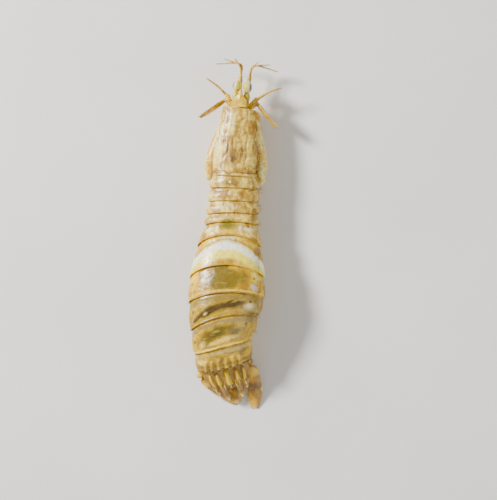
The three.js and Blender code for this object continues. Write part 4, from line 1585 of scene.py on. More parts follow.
@dataclass
class Claws:
    """The two folded striking claws and the small maxillipeds between them."""

    out: float = 4.05
    meral: float = 10.3
    wide: float = 1.0
    high: float = 1.15
    palm: float = 8.2
    palm_high: float = 0.75
    heel: float = 0.72
    dactyl: float = 6.2

    def __post_init__(self) -> None:
        """Find the frame that the claws hang from."""
        at = STATIONS["start"].to(STATIONS["carapace"], 0.55)
        self.place = turned(at.turn, at=at.at)

    def claw(self, name: str, side: int) -> None:
        """Build one claw.

        Args:
            name: Its side's name.
            side: 1 on the left, -1 on the right.
        """
        out, wide, palm, place = self.out, self.wide, self.palm, self.place
        rear = self.meral * 0.5 + 0.75
        front = rear - self.meral
        path = sided(
            side, (out + 0.3, rear, -0.95), (out, lerp(rear, front, 0.35), -0.72), (out - 1.6, front, -0.55)
        )

        def saddle(t: np.ndarray, angle: np.ndarray) -> np.ndarray:
            """Long groove on the outer face and the rim of the knee."""
            facing = hill(np.cos(angle) * -side, 0.75, 0.3)
            return 0.06 * hill(
                t, 0.95, 0.04
            ) - 0.07 * facing * hill(t, 0.62, 0.3) + 0.04 * hill(t, 0.06, 0.05)

        merus = Skin()
        merus.tube(
            path,
            swell(wide, self.high, 0.45, 0.58, 0.32),
            around=64,
            along=70,
            place=place,
            knobby=0.02,
            relief=saddle,
        )
        hip = sided(side, (3.1, rear - 2.6, -1.3), (out - 0.3, rear - 0.9, -1.1))
        merus.tube(hip, jointed(taper(0.5, 0.5, 0.95), [0.4]), around=28, along=24, place=place)
        add_piece(f"claw_upper_arm_{name}", merus, CLAW_SKIN, f"claw_merus_{name}")

        low = -self.high - self.palm_high - 1.05
        palm_path = sided(
            side,
            (out - 1.6, front + 0.3, low),
            (out - 0.9, front + palm / 2, low - 0.1),
            (out - 0.45, front + palm, low),
        )
        wrist = sided(
            side,
            (out - 1.7, front - 0.95, -0.8),
            (out - 1.7, front - 0.75, low + 0.7),
            (out - 1.6, front + 0.7, low + 0.05),
        )
        hand = Skin()
        hand.tube(
            palm_path,
            swell(wide * 0.62, self.palm_high, 0.75, 0.6, 0.3),
            around=48,
            along=60,
            place=place,
            knobby=0.015,
            relief=lambda t, angle: (
                0.05 * hill(t, 0.96, 0.04) - 0.06 * hill(np.sin(angle), 0.2, 0.2) * hill(t, 0.5, 0.4)
            ),
        )
        hand.tube(wrist, jointed(taper(0.55, 0.55, 1.0), [0.5]), around=32, along=34, place=place)
        add_piece(f"claw_palm_{name}", hand, CLAW_SKIN, f"claw_propodus_{name}")
        t = np.linspace(0.2, 0.92, 40)
        inward = np.array([-side * 0.75, 0.0, -0.35])
        half = swell(wide * 0.62, self.palm_high, 0.75, 0.6, 0.3)(t)[0]
        teeth = palm_path.at(t) + unit(inward) * (half * 0.93)[:, None]
        comb = Row(moved(teeth, place), unit(inward) @ place[:3, :3].T)
        sizes = {"Count": 34, "Length": 0.00018, "Thickness": 0.00006, "Spread": 0.05, "Sides": 6}
        grow(f"claw_comb_{name}", [comb], bristle_tree(), TIP, **sizes)

        inner = out - 0.45 - wide * 0.62 - GAP - 0.45
        knuckle = front + palm + GAP + 0.35 + self.heel
        finger = Skin()
        finger.ball((side * (out - 0.55), knuckle, low), (self.heel,) * 3, place, finer=2)
        blade = sided(
            side,
            (out - 0.6, knuckle, low),
            (inner, front + palm - 0.6, low - 0.1),
            (inner - 0.35, knuckle - self.dactyl, low - 0.1),
        )
        half = lambda t: (lerp(0.45, 0.08, t**1.6), lerp(0.5, 0.1, t**1.6))
        finger.tube(blade, half, around=30, along=60, place=place, value_from=0.2)
        add_piece(f"claw_finger_{name}", finger, FINGER_SKIN, f"claw_dactyl_{name}")

    def maxilliped(self, name: str, side: int, order: int) -> None:
        """Build one maxilliped: an arm, a round hand and its hooked finger.

        Args:
            name: Its side's name.
            side: 1 on the left, -1 on the right.
            order: Its place from the front, from 0.
        """
        y, out = lerp(-1.4, 3.4, order / 2), 0.75 + 0.06 * order
        skin = Skin()
        arm = sided(side, (out, y, -1.65 - GAP), (out + 0.6, y - 0.4, -2.4), (out + 0.1, y - 1.0, -3.1))
        skin.tube(arm, jointed(taper(0.3, 0.3, 0.85), [0.35, 0.75]), around=20, along=36, place=self.place)
        skin.ball((side * (out - 0.1), y - 1.45, -3.2), (0.45, 0.8, 0.42), self.place)
        hook = sided(side, (out - 0.1, y - 2.1, -3.15), (out - 0.3, y - 2.3, -3.4), (out, y - 1.7, -3.6))
        skin.tube(hook, taper(0.13, 0.13, 0.3), around=12, along=20, place=self.place, value_from=0.6)
        add_piece(f"maxilliped_arm_{order + 3}_{name}", skin, PALE, f"maxilliped_{order + 3}_{name}")

    def build(self) -> None:
        """Put the claws and the maxillipeds in the scene."""
        for name, side in SIDES:
            self.claw(name, side)
            for order in range(3):
                self.maxilliped(name, side, order)


@dataclass
class WalkingLegs:
    """Three pairs of thin jointed legs with a side branch each, whose feet stand on the floor."""

    thick: float = 0.85
    ankle: float = 0.5
    hip: float = 1.9
    knee: float = 3.7
    foot: float = 3.9
    knee_high: float = 2.1
    stride: float = 1.0
    sole: float = 0.12

    def leg(self, name: str, side: int, order: int, frame_at: Station) -> None:
        """Build one leg.

        Args:
            name: Its side's name.
            side: 1 on the left, -1 on the right.
            order: Its place from the front, from 1.
            frame_at: The frame of the trunk over it.
        """
        place = turned(frame_at.turn, at=frame_at.at)
        ground, deep, y = -frame_at.at[2], frame_at.deep, -0.9
        reach = (order - 2) * self.stride
        hip, flat = self.hip, (0, 1, 0)
        path = sided(
            side,
            (hip, y, -deep - GAP - self.thick * 0.25),
            (hip + 0.45, y, -deep - GAP - self.thick * 0.9),
            (self.knee, y + reach * 0.6, ground + self.knee_high),
            (self.foot - 0.05, y + reach * 0.9, ground + self.knee_high * 0.45),
            (self.foot, y + reach, ground - self.sole),
        )

        def half(t: np.ndarray) -> tuple[np.ndarray, np.ndarray]:
            """Half widths from hip to foot."""
            size = lerp(self.thick, self.ankle, smooth(t)) / 2
            return size, size

        skin = Skin()
        skin.tube(
            path,
            jointed(half, [0.2, 0.52, 0.76], 0.3),
            flat=flat,
            around=26,
            along=70,
            place=place,
            knobby=0.01,
        )
        branch = sided(
            side,
            (hip + 0.7, y + 0.1, -deep - 0.9),
            (hip + 1.1, y + 0.75, -deep - 1.5),
            (hip + 1.2, y + 1.0, -deep - 2.1),
        )
        skin.tube(
            branch,
            jointed(swell(0.3, 0.3, 0.8, 0.6), [0.3, 0.65]),
            flat=flat,
            around=18,
            along=30,
            place=place,
        )
        add_piece(f"walking_leg_limb_{order}_{name}", skin, PALE, f"walking_leg_{order}_{name}")
        rows = []
        for turn in (0.3, 2.2, 4.1):
            t = np.linspace(0.74, 0.86, 8)
            out = np.array([math.cos(turn) * 0.7, math.sin(turn) * 0.7, -0.4])
            line = path.at(t) + unit(out) * self.ankle * 0.42
            rows.append(Row(moved(line, place), unit(out) @ place[:3, :3].T))
        sizes = {"Count": 7, "Length": 0.00035, "Thickness": 0.00002, "Spread": 0.3, "Seed": order}
        grow(f"walking_leg_bristles_{order}_{name}", rows, bristle_tree(), HAIR, **sizes)

    def build(self) -> None:
        """Put the legs in the scene."""
        for order, plate in ((1, "thorax_6"), (2, "thorax_7"), (3, "thorax_8")):
            for name, side in SIDES:
                self.leg(name, side, order, STATIONS[plate])


@dataclass
class Swimmerets:
    """Five pairs of swimming legs: a short stem and two leaves with a fringe of bristles."""

    out: float = 0.5
    long: float = 3.3
    wide: float = 1.9
    thick: float = 0.55
    droop: float = 38.0

    def leg(self, name: str, side: int, order: int) -> None:
        """Build one swimming leg.

        Args:
            name: Its side's name.
            side: 1 on the left, -1 on the right.
            order: Its place from the front, from 1.
        """
        before = "thorax_8" if order == 1 else f"abdomen_{order - 1}"
        at = STATIONS[before].to(STATIONS[f"abdomen_{order}"], 0.35)
        origin = at.point(side * self.out * at.wide, 0.0, -at.deep - GAP - 0.3)
        place = turned(at.turn, -(self.droop - at.lean * 0.4), origin)
        size = at.wide / STATIONS["abdomen_3"].wide
        skin = Skin()
        stem = Path((0, -0.25, 0.12), (0, 0.35, -0.15), (0, 1.1, -0.3))
        skin.tube(stem, jointed(taper(0.4, 0.3, 0.95), [0.55], 0.15), around=24, along=24, place=place)
        rows = []
        reach = self.long * size - 0.5
        for left, length, width, turn in (
            (side, reach, self.wide * size, 1.1), (-side * 0.9, reach * 0.9, self.wide * size * 0.85, 0.9)
        ):
            path = Path(
                (left * 0.2, 0.5, -0.3),
                (left * 0.6, 0.5 + length / 2, -0.3),
                (left * turn, 0.5 + length, -0.15),
            )

            def outline(t: np.ndarray, width: float = width) -> tuple[np.ndarray, np.ndarray]:
                """Half width of a leaf and its half thickness."""
                return width / 2 * np.sin(
                    math.pi * lerp(0.16, 0.93, t),
                ) ** 0.6, self.thick / 2 * lerp(0.9, 0.45, t)

            vein = lambda t, angle: 0.05 * hill(np.cos(angle), 0, 0.2) + 0.02 * np.sin(t * 60)
            skin.tube(path, outline, around=40, along=30, place=place, relief=vein)
            rows += blade_fringe(path, outline, UP, np.linspace(0.15, 0.99, 30), 1.0, place, 0.95)
        add_piece(f"swimmeret_{order}_{name}", skin, PALE, f"pleopod_{order}_{name}")
        sizes = {"Count": 30, "Length": 0.0004, "Thickness": 0.000025, "Spread": 0.15, "Seed": order}
        grow(f"swimmeret_fringe_{order}_{name}", rows, bristle_tree(), HAIR, **sizes)

    def build(self) -> None:
        """Put the swimming legs in the scene."""
        for order in range(1, 6):
            for name, side in SIDES:
                self.leg(name, side, order)


# The tail fan


@dataclass(frozen=True)
class Fold:
    """How one side's uropod is folded, in millimetres, and its share of full length."""

    root: float
    tip: float
    bend: float
    reach: float
    wide: float = 1.85


@dataclass
class TailFan(Axes):
    """Telson and uropods, in a frame that dives from the last plate's rear edge to the floor."""

    plate: Finish
    fan: Finish
    folds: dict[str, Fold] = field(
        default_factory=lambda: {"left": Fold(4.25, 0.2, 0, 0.95), "right": Fold(3.7, 2.2, 0.3, 1.22, 2.3)},
    )
    dive: float = 25.0
    turn: float = 16.0
    rise: float = 0.75
    long: float = 3.75
    wide: float = 3.85
    waist: float = 3.45
    thick: float = 1.0
    tooth: float = 2.8

    def __post_init__(self) -> None:
        """Find the tail's frame."""
        last = STATIONS["abdomen_6"]
        turn, dive = math.radians(self.turn), math.radians(self.dive)
        self.at = last.at + [0, 0, self.rise]
        self.left = np.array([math.cos(turn), math.sin(turn), 0])
        flat = np.array([-math.sin(turn), math.cos(turn), 0])
        self.tail = flat * math.cos(dive) - np.array([0, 0, math.sin(dive)])
        self.up = np.cross(self.left, self.tail)

    def path(self, side: int, *points: Sequence[float]) -> Path:
        """Path through places in the tail's frame, given for the left side."""
        return Path(*(self.point(side * x, y, z) for x, y, z in points))

    def outline(self, t: np.ndarray) -> np.ndarray:
        """Half width of the telson's disc at t."""
        flare = lerp(self.waist, self.wide, np.sin(math.pi * np.minimum(1, t * 1.25)) ** 0.8)
        return flare * (1 - 0.42 * smooth((t - 0.45) / 0.55))

    def carinae(self, x: np.ndarray, y: np.ndarray) -> np.ndarray:
        """Height of the swollen ridges over the disc.

        Args:
            x: Distance from the midline.
            y: Distance from the disc's front edge.

        Returns:
            Heights in millimetres.
        """
        off = np.abs(x)

        def ridge(at: np.ndarray | float, half: float, start: float, end: float, high: float) -> np.ndarray:
            """One ridge that ends in a steep rear slope."""
            body = smooth((y - start) / 0.7) * (1 - smooth((y - end + 0.25) / 0.3))
            fat = half * (0.75 + 0.25 * smooth((y - start) / (end - start)))
            return high * np.sqrt(np.clip(hill(off, at, fat), 0, 1)) * body

        high = ridge(0, 0.62, 0.3, 3.45, 0.6)
        high = np.maximum(high, ridge(1.62 - 0.02 * y, 0.5, 0.6, 3.1, 0.5))
        high = np.maximum(high, ridge(0.95, 0.2, 2.3, 3.6, 0.22))
        high = np.maximum(high, ridge(2.75 - 0.16 * np.maximum(y - 2, 0), 0.42, 0.6, 3.65, 0.42))
        return high + 0.1 * hill(y, 0.12, 0.15)

    def telson(self) -> None:
        """Build the disc, its ridges, its knobs and its teeth."""
        skin = Skin()
        t = np.concatenate([[0, 0.003, 0.01], np.linspace(0.02, 0.98, 66), [0.99, 0.997, 1.0]])
        close = np.concatenate([[0.5, 0.8, 0.93], np.ones(66), [0.93, 0.8, 0.5]])
        angle = np.linspace(0, 2 * math.pi, 260, endpoint=False)
        c = np.cos(angle)
        x = self.outline(t)[:, None] * np.sign(c) * np.abs(c) ** 0.8
        high = (self.thick / 2 * lerp(1, 0.7, t) * close)[:, None] * np.sin(angle)
        y = t[:, None] * (self.long + 0.3) + 0 * x
        top = smooth(np.sin(angle) * 3) * (np.sin(angle) > 0)
        rise = self.carinae(x, y) * top
        pits = 0.025 * unrest(np.stack([x, y, 0 * x], axis=-1), 1.1, 9) * top
        rows = self.point(x, y + 0.2, high + rise + pits)
        skin.rings(
            rows, along=0.8 * t[:, None], across=x, under=smooth(-np.sin(angle) * 1.5)[None], rise=rise
        )
        for out, y_end, size in ((0.0, 3.62, 0.17), (1.56, 3.28, 0.16), (0.95, 3.8, 0.12), (2.5, 3.9, 0.15)):
            for side in (1, -1) if out else (1,):
                knob = self.path(side, (out, y_end - 0.5, 0.78), (out, y_end + 0.42, 0.56))
                skin.tube(knob, taper(size, size, 0.35), self.up, around=14, along=14, value_from=0.86)
        for out, start, end, size in (
            (1.25, self.long - 0.9, self.long + self.tooth, 0.66),
            (2.6, self.long - 1, self.long + self.tooth * 0.5, 0.52),
            (3.25, self.long - 1.9, self.long + self.tooth * 0.1, 0.36),
        ):
            for side in (1, -1):
                path = self.path(
                    side, (out, start, 0), (out * 0.98, (start + end) / 2, 0.05), (out * 0.88, end, -0.08)
                )
                half = lambda t, w=size: (lerp(w, 0.09, t**2.2), lerp(w * 0.8, 0.09, t**2.2))
                keel = lambda t, angle: 0.08 * hill(np.sin(angle), -1, 0.35) * hill(t, 0.5, 0.45) + 0 * angle
                skin.tube(path, half, self.up, around=36, along=44, relief=keel, value_from=0.5)
        add_piece("telson_disc", skin, self.plate, "telson")
        edge = np.linspace(-0.75, 0.75, 24)
        line = self.point(edge, 0.2 + self.long + 0.22 - 0.25 * np.abs(edge), 0.0)
        notch = np.linspace(1.75, 2.2, 8)
        sides = [self.point(side * notch, 0.2 + self.long + 0.05, 0.0) for side in (1, -1)]
        rows = [Row(points, self.tail) for points in (line, *sides)]
        sizes = {"Count": 14, "Length": 0.0004, "Thickness": 0.00009, "Spread": 0.03, "Sides": 8}
        grow("telson_denticles", rows, bristle_tree(), TIP, **sizes)

    def uropod(self, name: str, side: int) -> None:
        """Build one uropod: its base with two prongs, its outer and its inner branch.

        Args:
            name: Its side's name.
            side: 1 on the left, -1 on the right.
        """
        fold, under, thick, base = self.folds[name], 1.15, 0.6, 1.6
        root, wide = fold.root, fold.wide
        stem = Skin()
        path = self.path(
            side,
            (root, GAP + 0.45, -under + 0.45),
            (root + 0.1, base * 0.75, -under + 0.1),
            (root, base + 0.15, -under),
        )
        stem.tube(path, swell(0.66, 0.6, 0.85, 0.85), self.up, around=40, along=34, knobby=0.02)
        for first, halfway, end, reaches in ((0.45, 0.98, 1.35, 3.7), (-0.1, 0.4, 0.7, 2.6)):
            prong = self.path(
                side,
                (root - first, 1, -under),
                (root - halfway, lerp(0.8, reaches, 0.5), -under - 0.5),
                (root - end, reaches, -under - 0.6),
            )
            stem.tube(prong, taper(0.27, 0.27, 0.35, 1.4), self.up, around=20, along=30, value_from=0.4)
        add_piece(f"uropod_stem_{name}", stem, self.fan, f"uropod_base_{name}")

        def spread(from_left: float, to_left: float, start: float, length: float, height: float) -> Path:
            """Middle line of a blade down to a tip at a height over the floor."""
            first = self.point(side * from_left, start, -under)
            last = self.point(side * to_left, start + length, -under)
            last[2] = height
            return Path(first, (first + last) / 2 + self.left * side * fold.bend, last)

        def blade(w: float) -> HalfWidths:
            """Half widths of a blade."""
            return lambda t: (
                w / 2 * np.sin(math.pi * lerp(0.2, 0.96, t)) ** 0.6, thick / 2 * lerp(1.05, 0.75, t)
            )

        start = base + GAP
        outer = spread(root + 0.15, fold.tip, start, 6.3 * fold.reach, thick * 0.35)
        hinge = 0.54
        skin, full = Skin(), blade(wide)

        def segment(t: np.ndarray) -> np.ndarray:
            """Share of the width round the hinge between the two segments of the outer branch."""
            return 1 + 0.05 * hill(t, hinge - 0.06, 0.08) - 0.1 * hill(t, hinge + 0.015, 0.03)

        def fluted(t: np.ndarray, angle: np.ndarray) -> np.ndarray:
            """Long ridges of the outer branch."""
            ribs = 0.07 * hill(np.cos(angle), 0.15, 0.2) + 0.05 * hill(np.cos(angle), -0.55, 0.18)
            return ribs * smooth(t / 0.1) * (1 - 0.6 * smooth((t - hinge) / 0.1)) * (np.sin(angle) < 0.2)

        branch = lambda t: tuple(size * segment(t) for size in full(t))
        skin.tube(outer, branch, self.up, around=56, along=80, relief=fluted, knobby=0.012)
        for k in range(9):
            t = np.array(lerp(0.2, 0.565, k / 8))
            edge = outer.at(t) + self.left * side * float(full(t)[0]) * 0.72
            reach = lerp(0.5, 0.95, k / 8)
            tip = edge + self.left * side * 0.26 + self.tail * reach - self.up * 0.02
            spine = Path(edge, (edge + tip) / 2 + self.left * side * 0.07, tip)
            skin.tube(spine, taper(0.15, 0.13, 0.35), self.up, around=14, along=14, value_from=0.9)
        add_piece(f"uropod_outer_branch_{name}", skin, self.fan, f"uropod_exopod_{name}")
        shift = 1.85 * 0.9 + GAP + 0.45
        inner_tip = max(fold.tip - shift, -0.55)
        inner = spread(root + 0.25 - shift, inner_tip, start + 0.5, 4.5 * fold.reach - 0.25, thick * 1.6)
        leaf = Skin()
        leaf.tube(inner, blade(wide * 0.8), self.up, around=48, along=60, relief=fluted, knobby=0.012)
        add_piece(f"uropod_inner_branch_{name}", leaf, self.fan, f"uropod_endopod_{name}")
        rows = blade_fringe(outer, full, self.up, np.linspace(0.62, 0.992, 50), 0.8)
        rows += blade_fringe(inner, blade(wide * 0.8), self.up, np.linspace(0.3, 0.992, 50), 0.8)
        sizes = {"Count": 60, "Length": 0.0005, "Thickness": 0.00003, "Spread": 0.12, "Seed": 11}
        grow(f"uropod_fringe_{name}", rows, bristle_tree(), HAIR, **sizes)

    def build(self) -> None:
        """Put the tail fan in the scene."""
        self.telson()
        for name, side in SIDES:
            self.uropod(name, side)


# Floor, lights and camera


@dataclass
class Studio:
    """Pale floor, soft lights and the camera that looks down on the animal."""

    target: tuple[float, float, float] = (-2.05, 2.64, 4.5)
    lean: float = 8.0
    across: float = 79.5
    lens: float = 135.0

    def build(self) -> None:
        """Put the floor, the lights and the camera in the scene."""
        mesh = bpy.data.meshes.new("floor")
        mesh.from_pydata([(-2, -2, 0), (2, -2, 0), (2, 2, 0), (-2, 2, 0)], [], [(0, 1, 2, 3)])
        floor = bpy.data.objects.new("floor", mesh)
        mesh.materials.append(FloorFinish("studio_floor").material())
        bpy.context.scene.collection.objects.link(floor)
        target = Vector(self.target) * MM
        for name, way, size, power in (
            ("key", (0.72, -0.4, 0.64), 0.09, 4.6),
            ("fill", (-0.6, 0.5, 0.7), 0.4, 0.75),
            ("low", (0.1, 1.0, 0.35), 0.3, 0.2),
        ):
            lamp = bpy.data.lights.new(name, "AREA")
            lamp.size, lamp.energy = size, power
            light = bpy.data.objects.new(name, lamp)
            light.location = target + Vector(way).normalized() * 0.45
            light.rotation_euler = (target - light.location).to_track_quat("-Z", "Y").to_euler()
            bpy.context.scene.collection.objects.link(light)
        world = bpy.data.worlds.new("studio")
        world.use_nodes = True
        world.node_tree.nodes["Background"].inputs[0].default_value = (0.92, 0.95, 1.0, 1.0)
        world.node_tree.nodes["Background"].inputs[1].default_value = 0.48
        bpy.context.scene.world = world
        camera = bpy.data.cameras.new("camera")
        camera.lens = self.lens
        camera.clip_start = 0.01
        seen = bpy.data.objects.new("camera", camera)
        lean = math.radians(self.lean)
        back = Vector((-math.sin(lean), 0.0, math.cos(lean)))
        right = Vector((-math.cos(lean), 0.0, -math.sin(lean)))
        up = back.cross(right)
        far = self.across * MM * self.lens / camera.sensor_width * 500 / 497
        seen.matrix_world = Matrix.Translation(
            target + back * far,
        ) @ Matrix((right, up, back)).transposed().to_4x4()
        bpy.context.scene.collection.objects.link(seen)
        bpy.context.scene.camera = seen


# Pigment of the single pieces; a few of their marks are painted light

CLAW_SKIN = Finish(
    "claw_cuticle", light="fff0b4", dark="dcb258", belly="f0d898", cloud=380.0, specks=0.2, clear=0.2
)
FINGER_SKIN = Finish(
    "claw_finger_horn", light="f0d896", dark="c48a38", belly="e8ce90", roughness=0.22, clear=0.2
)
STALK = Finish("eye_stalk_cuticle", light="d8c96a", dark="a8963c", belly="d8ca78", cloud=900.0, clear=0.25)
ROSTRUM = Finish("rostral_cuticle", light="f8e486", dark="caa23c", belly="e6d088", cloud=800.0)
TELSON = Finish(
    "telson_cuticle",
    light="b08e1c",
    dark="745808",
    belly="d0ac58",
    ridge="d2b23e",
    # Painted highlight: a pale band over the rear ends of the knobs and teeth.
    marks=(band("efe09c", 0.97, 0.13, strength=0.85, soft=0.9),),
    cloud=500.0,
    specks=0.1,
    coat=0.4,
    stain_and_highlight=0.12,
)
FAN = Finish(
    "uropod_cuticle",
    light="d4a828",
    dark="7c5c0c",
    belly="c8a04c",
    marks=(
        band("5e420a", 0.52, 0.24, strength=0.75, soft=0.9),
        # Painted highlight: a pale yellow band near the start of each uropod piece.
        band("f0d06c", 0.16, 0.14, strength=0.7, soft=0.9),
        band("ecd890", 0.99, 0.1, strength=0.8, soft=0.9),
    ),
    cloud=320.0,
    specks=0.1,
    coat=0.5,
    stain_and_highlight=0.2,
)

# The ground colours of the plates that differ from the rest: light, then dark.
PLATE_TONES: dict[str, tuple[str, str]] = {
    "abdomen_2": ("f4d684", "c09a4c"),
    "abdomen_3": ("e2bc68", "8e6e2c"),
    "abdomen_4": ("b89c5c", "705a28"),
    "abdomen_5": ("c8a85c", "7c662c"),
    "abdomen_6": ("d8b864", "856a26"),
}

PLATE_MARKS: dict[str, tuple[Mark, ...]] = {
    "carapace": (
        Mark("7c5c28", 0.7, 0.24, 0.0, 1.8, 0.85, 0.8),
        Mark("fdeaae", 0.5, 0.36, 3.1, 1.1, 0.85, 0.6),
        Mark("fdeaae", 0.2, 0.2, 0.9, 0.7, 0.8, 0.6),
        Mark("a8802e", 0.27, 0.18, -2.3, 0.8, 0.8, 0.6),
        Mark("7c6a3c", 0.34, 0.13, 0.0, 0.5, 0.85, 0.6),
        Mark("5c4218", 0.62, 0.1, 1.25, 0.4, 0.9, 0.6),
        Mark("5c4218", 0.66, 0.12, -1.1, 0.45, 0.9, 0.6),
        Mark("4c3816", 0.76, 0.11, 0.15, 0.8, 0.95, 0.7),
        Mark("76562a", 0.5, 0.1, 0.5, 0.25, 0.8, 0.6),
        Mark("f6dc96", 0.84, 0.05, -0.9, 0.5, 0.8),
        Mark("a07a2c", 0.94, 0.05, 2.7, 0.8),
        Mark("986e22", 0.93, 0.05, -2.6, 1.0),
        Mark("946c20", 0.74, 0.18, -3.65, 0.3),
        band("5c4218", 0.955, 0.016, strength=0.8),
    ),
    "thorax_5": (
        Mark("7c6028", 0.45, 0.7, -0.1, 2.2, 0.85, 0.7),
        Mark("fff0c4", 0.45, 0.16, 0.35, 0.25, 1.0),
        Mark("b08a3c", 0.3, 0.4, 2.6, 0.6),
        Mark("a07c34", 0.4, 0.4, -2.9, 0.6),
    ),
    "thorax_6": (
        Mark("94743a", 0.45, 0.65, 0.9, 1.9, 0.85, 0.7),
        Mark("80602c", 0.4, 0.55, -1.6, 1.2, 0.85, 0.7),
        Mark("a88238", 0.5, 0.5, -2.7, 0.9),
        Mark("fcefc4", 0.3, 0.3, 0.35, 0.28),
        Mark("fbe8a8", 0.5, 0.5, 3.4, 0.5),
    ),
    "thorax_7": (
        Mark("d8c898", 0.4, 0.45, 0.2, 2.2),
        Mark("7c683c", 0.2, 0.25, 1.3, 0.25),
        Mark("7c683c", 0.2, 0.25, -0.6, 0.25),
        Mark("a07a30", 0.7, 0.4, -3.6, 0.6),
    ),
    "thorax_8": (
        Mark("c9b478", 0.3, 0.4, 0.3, 2.0),
        Mark("6e6428", 0.95, 0.42, 0.1, 1.8),
        Mark("fff4cc", 0.1, 0.18, 0.6, 0.25),
        Mark("967428", 0.4, 0.5, -3.4, 0.6),
        Mark("a88a38", 0.4, 0.5, 3.2, 0.5),
    ),
    "abdomen_1": (
        Mark("6c642a", 0.2, 0.55, 0.0, 2.05, 0.95),
        Mark("d6b458", 0.72, 0.25, 0.0, 2.0),
        Mark("fdf0c4", 0.35, 0.24, 3.1, 1.1, 0.9),
        Mark("f6e8c0", 0.35, 0.24, -3.1, 1.1, 0.9),
        Mark("fffbe0", 0.34, 0.3, 1.85, 0.36, 1.0),
        Mark("fffbe0", 0.38, 0.3, -1.8, 0.36, 1.0),
        Mark("5c4a20", 0.1, 0.14, 3.5, 0.25),
        Mark("5c4a20", 0.15, 0.14, -3.0, 0.25),
        band("b8903c", 0.93, 0.07, strength=0.8),
        Mark("ac8228", 0.85, 0.2, 4.1, 0.9),
        Mark("9c7018", 0.9, 0.22, -4.3, 0.9),
    ),
    "abdomen_2": (
        Mark("dcd4a8", 0.1, 0.24, 0.0, 2.8, 0.8),
        Mark("7c6c48", 0.1, 0.1, 1.3, 0.2),
        Mark("7c6c48", 0.09, 0.1, -1.4, 0.2),
        Mark("bc9030", 0.2, 0.3, 4.9, 1.3, 0.9),
        Mark("946a10", 0.2, 0.32, -4.9, 1.1, 0.9),
        band("8c7438", 0.08, 0.07, bow=0.0114, strength=0.6, soft=0.9),
        band("ffe48c", 0.55, 0.36, bow=0.0137, strength=1.0, soft=0.7),
        # Painted light: a white arch of caustic light across the plate, bluish-white at its middle.
        band("fffce8", 0.31, 0.22, bow=0.0118, strength=1.0, soft=0.8),
        Mark("f2f4f0", 0.3, 0.17, -0.2, 1.7, 0.9, 0.9),
        band("d8aa48", 0.86, 0.1, bow=0.006, strength=0.6, soft=0.9),
        Mark("a08238", 1.0, 0.3, -0.2, 3.6, 0.9, 0.6),
    ),
    "abdomen_3": (
        Mark("685b30", 0.42, 0.78, -0.2, 4.9, 0.95, 0.6),
        Mark("f0c860", 0.15, 0.4, 4.8, 1.0, 0.9, slant=0.1),
        Mark("fce494", 0.15, 0.44, -4.9, 0.8, 0.9, slant=-0.1),
        Mark("a07a28", 0.75, 0.22, -3.5, 0.7),
        Mark("d8d0d0", 0.68, 0.2, -4.8, 0.7),
        Mark("946e28", 0.86, 0.2, 3.4, 1.0),
        Mark("5f4a1c", 0.38, 0.09, 5.2, 0.3),
        Mark("5f4a1c", 0.28, 0.1, -4.7, 0.3),
        band("e8ca78", 0.9, 0.06, strength=0.8),
        band("8a6424", 0.97, 0.04, strength=0.8),
    ),
    "abdomen_4": (
        band("857448", 0.12, 0.2, strength=0.9),
        band("9c8244", 0.32, 0.08, slant=0.03, strength=0.7),
        Mark("3c300e", 0.58, 0.27, 1.6, 3.6, 1.0, 0.6, slant=0.06),
        Mark("403412", 0.44, 0.24, -1.7, 2.8, 1.0, 0.6, slant=0.05),
        Mark("463812", 0.72, 0.12, 3.9, 1.3, 0.95, 0.5, slant=0.06),
        band("ac9450", 0.84, 0.1, slant=0.02, strength=0.8),
        Mark("d4c490", 0.66, 0.09, 2.6, 0.5, 0.7),
        # Painted highlight: a soft grey-white spot on the right side.
        Mark("f0e4b8", 0.55, 0.3, -4.4, 1.2, 0.9, 1.0),
        Mark("a8842c", 0.8, 0.16, -2.4, 1.0),
        Mark("3c300f", 0.4, 0.09, 4.9, 0.3),
        Mark("3c300f", 0.3, 0.1, -4.4, 0.3),
        band("6e5018", 0.975, 0.04, strength=0.9),
    ),
    "abdomen_5": (
        band("8e7c58", 0.09, 0.12, strength=0.9),
        Mark("544a26", 0.42, 0.3, 0.8, 3.6, 1.0, 0.7, slant=0.03),
        Mark("5a5030", 0.52, 0.13, -2.3, 1.3, 0.9, 0.6, slant=0.05),
        Mark("f0d48c", 0.72, 0.13, -0.3, 3.2, 0.9, slant=0.02),
        Mark("f6e2a4", 0.7, 0.2, 3.1, 0.9, 0.8, 1.0),
        Mark("41340f", 0.5, 0.08, 4.5, 0.3),
        Mark("41340f", 0.25, 0.09, -4.0, 0.3),
        band("f2c646", 0.915, 0.075, strength=0.95, soft=0.8),
        band("6e5018", 0.99, 0.025, strength=0.9),
    ),
    "abdomen_6": (
        band("c8b888", 0.1, 0.13, strength=0.7, soft=0.9),
        Mark("f0d890", 0.4, 0.22, 3.6, 0.8),
        band("7c6020", 0.74, 0.14, strength=0.8, soft=0.9),
        band("46320a", 0.985, 0.08, strength=0.95),
    ),
}


def plate_finish(name: str) -> Finish:
    """Finish of one body plate with its own marks."""
    light, dark = PLATE_TONES.get(name, ("f8da92", "9c7a38"))
    if name.startswith("abdomen"):
        drawn = {
            "stretch": (6.0, 1.0, 1.0),
            "turn": STATIONS[name].turn,
            "stain_and_highlight": 0.3,
            "coat": 0.06,
            "roughness": 0.26,
        }
    else:
        drawn = {"cloud": 640.0, "streak": 0.75, "coat": 0.2}
    return Finish(f"{name}_cuticle", light, dark, marks=PLATE_MARKS[name], **drawn)


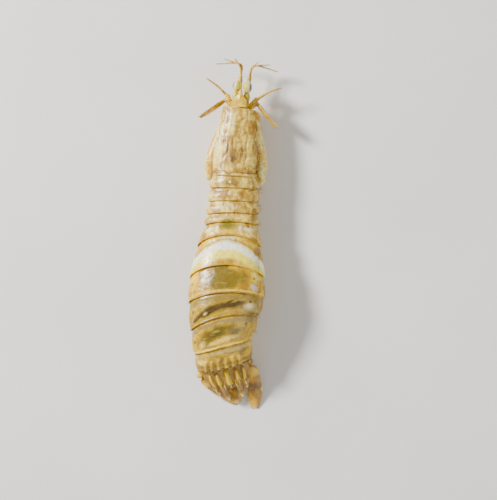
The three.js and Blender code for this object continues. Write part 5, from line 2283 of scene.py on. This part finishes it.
def main() -> None:
    """Build the animal piece by piece, then the studio round it."""
    logging.basicConfig(level=logging.INFO, format="%(message)s")
    corneas = tuple(CorneaFinish(f"cornea_{name}", side) for name, side in SIDES)
    Shield(plate_finish("carapace")).build()
    Face(ROSTRUM, corneas, STALK).build()
    before = "carapace"
    for plate in PLATES[1:]:
        relief = Relief.THORAX if plate.name.startswith("thorax") else Relief.ABDOMEN
        if plate.name == "abdomen_6":
            relief = Relief.LAST
        rim = 0.01 if plate.name == "abdomen_2" else 0.06
        finish = plate_finish(plate.name)
        TrunkPlate(plate.name, STATIONS[before], STATIONS[plate.name], relief, finish, rim=rim).build()
        before = plate.name
    Claws().build()
    WalkingLegs().build()
    Swimmerets().build()
    TailFan(TELSON, FAN).build()
    Studio().build()


if __name__ == "__main__":
    main()
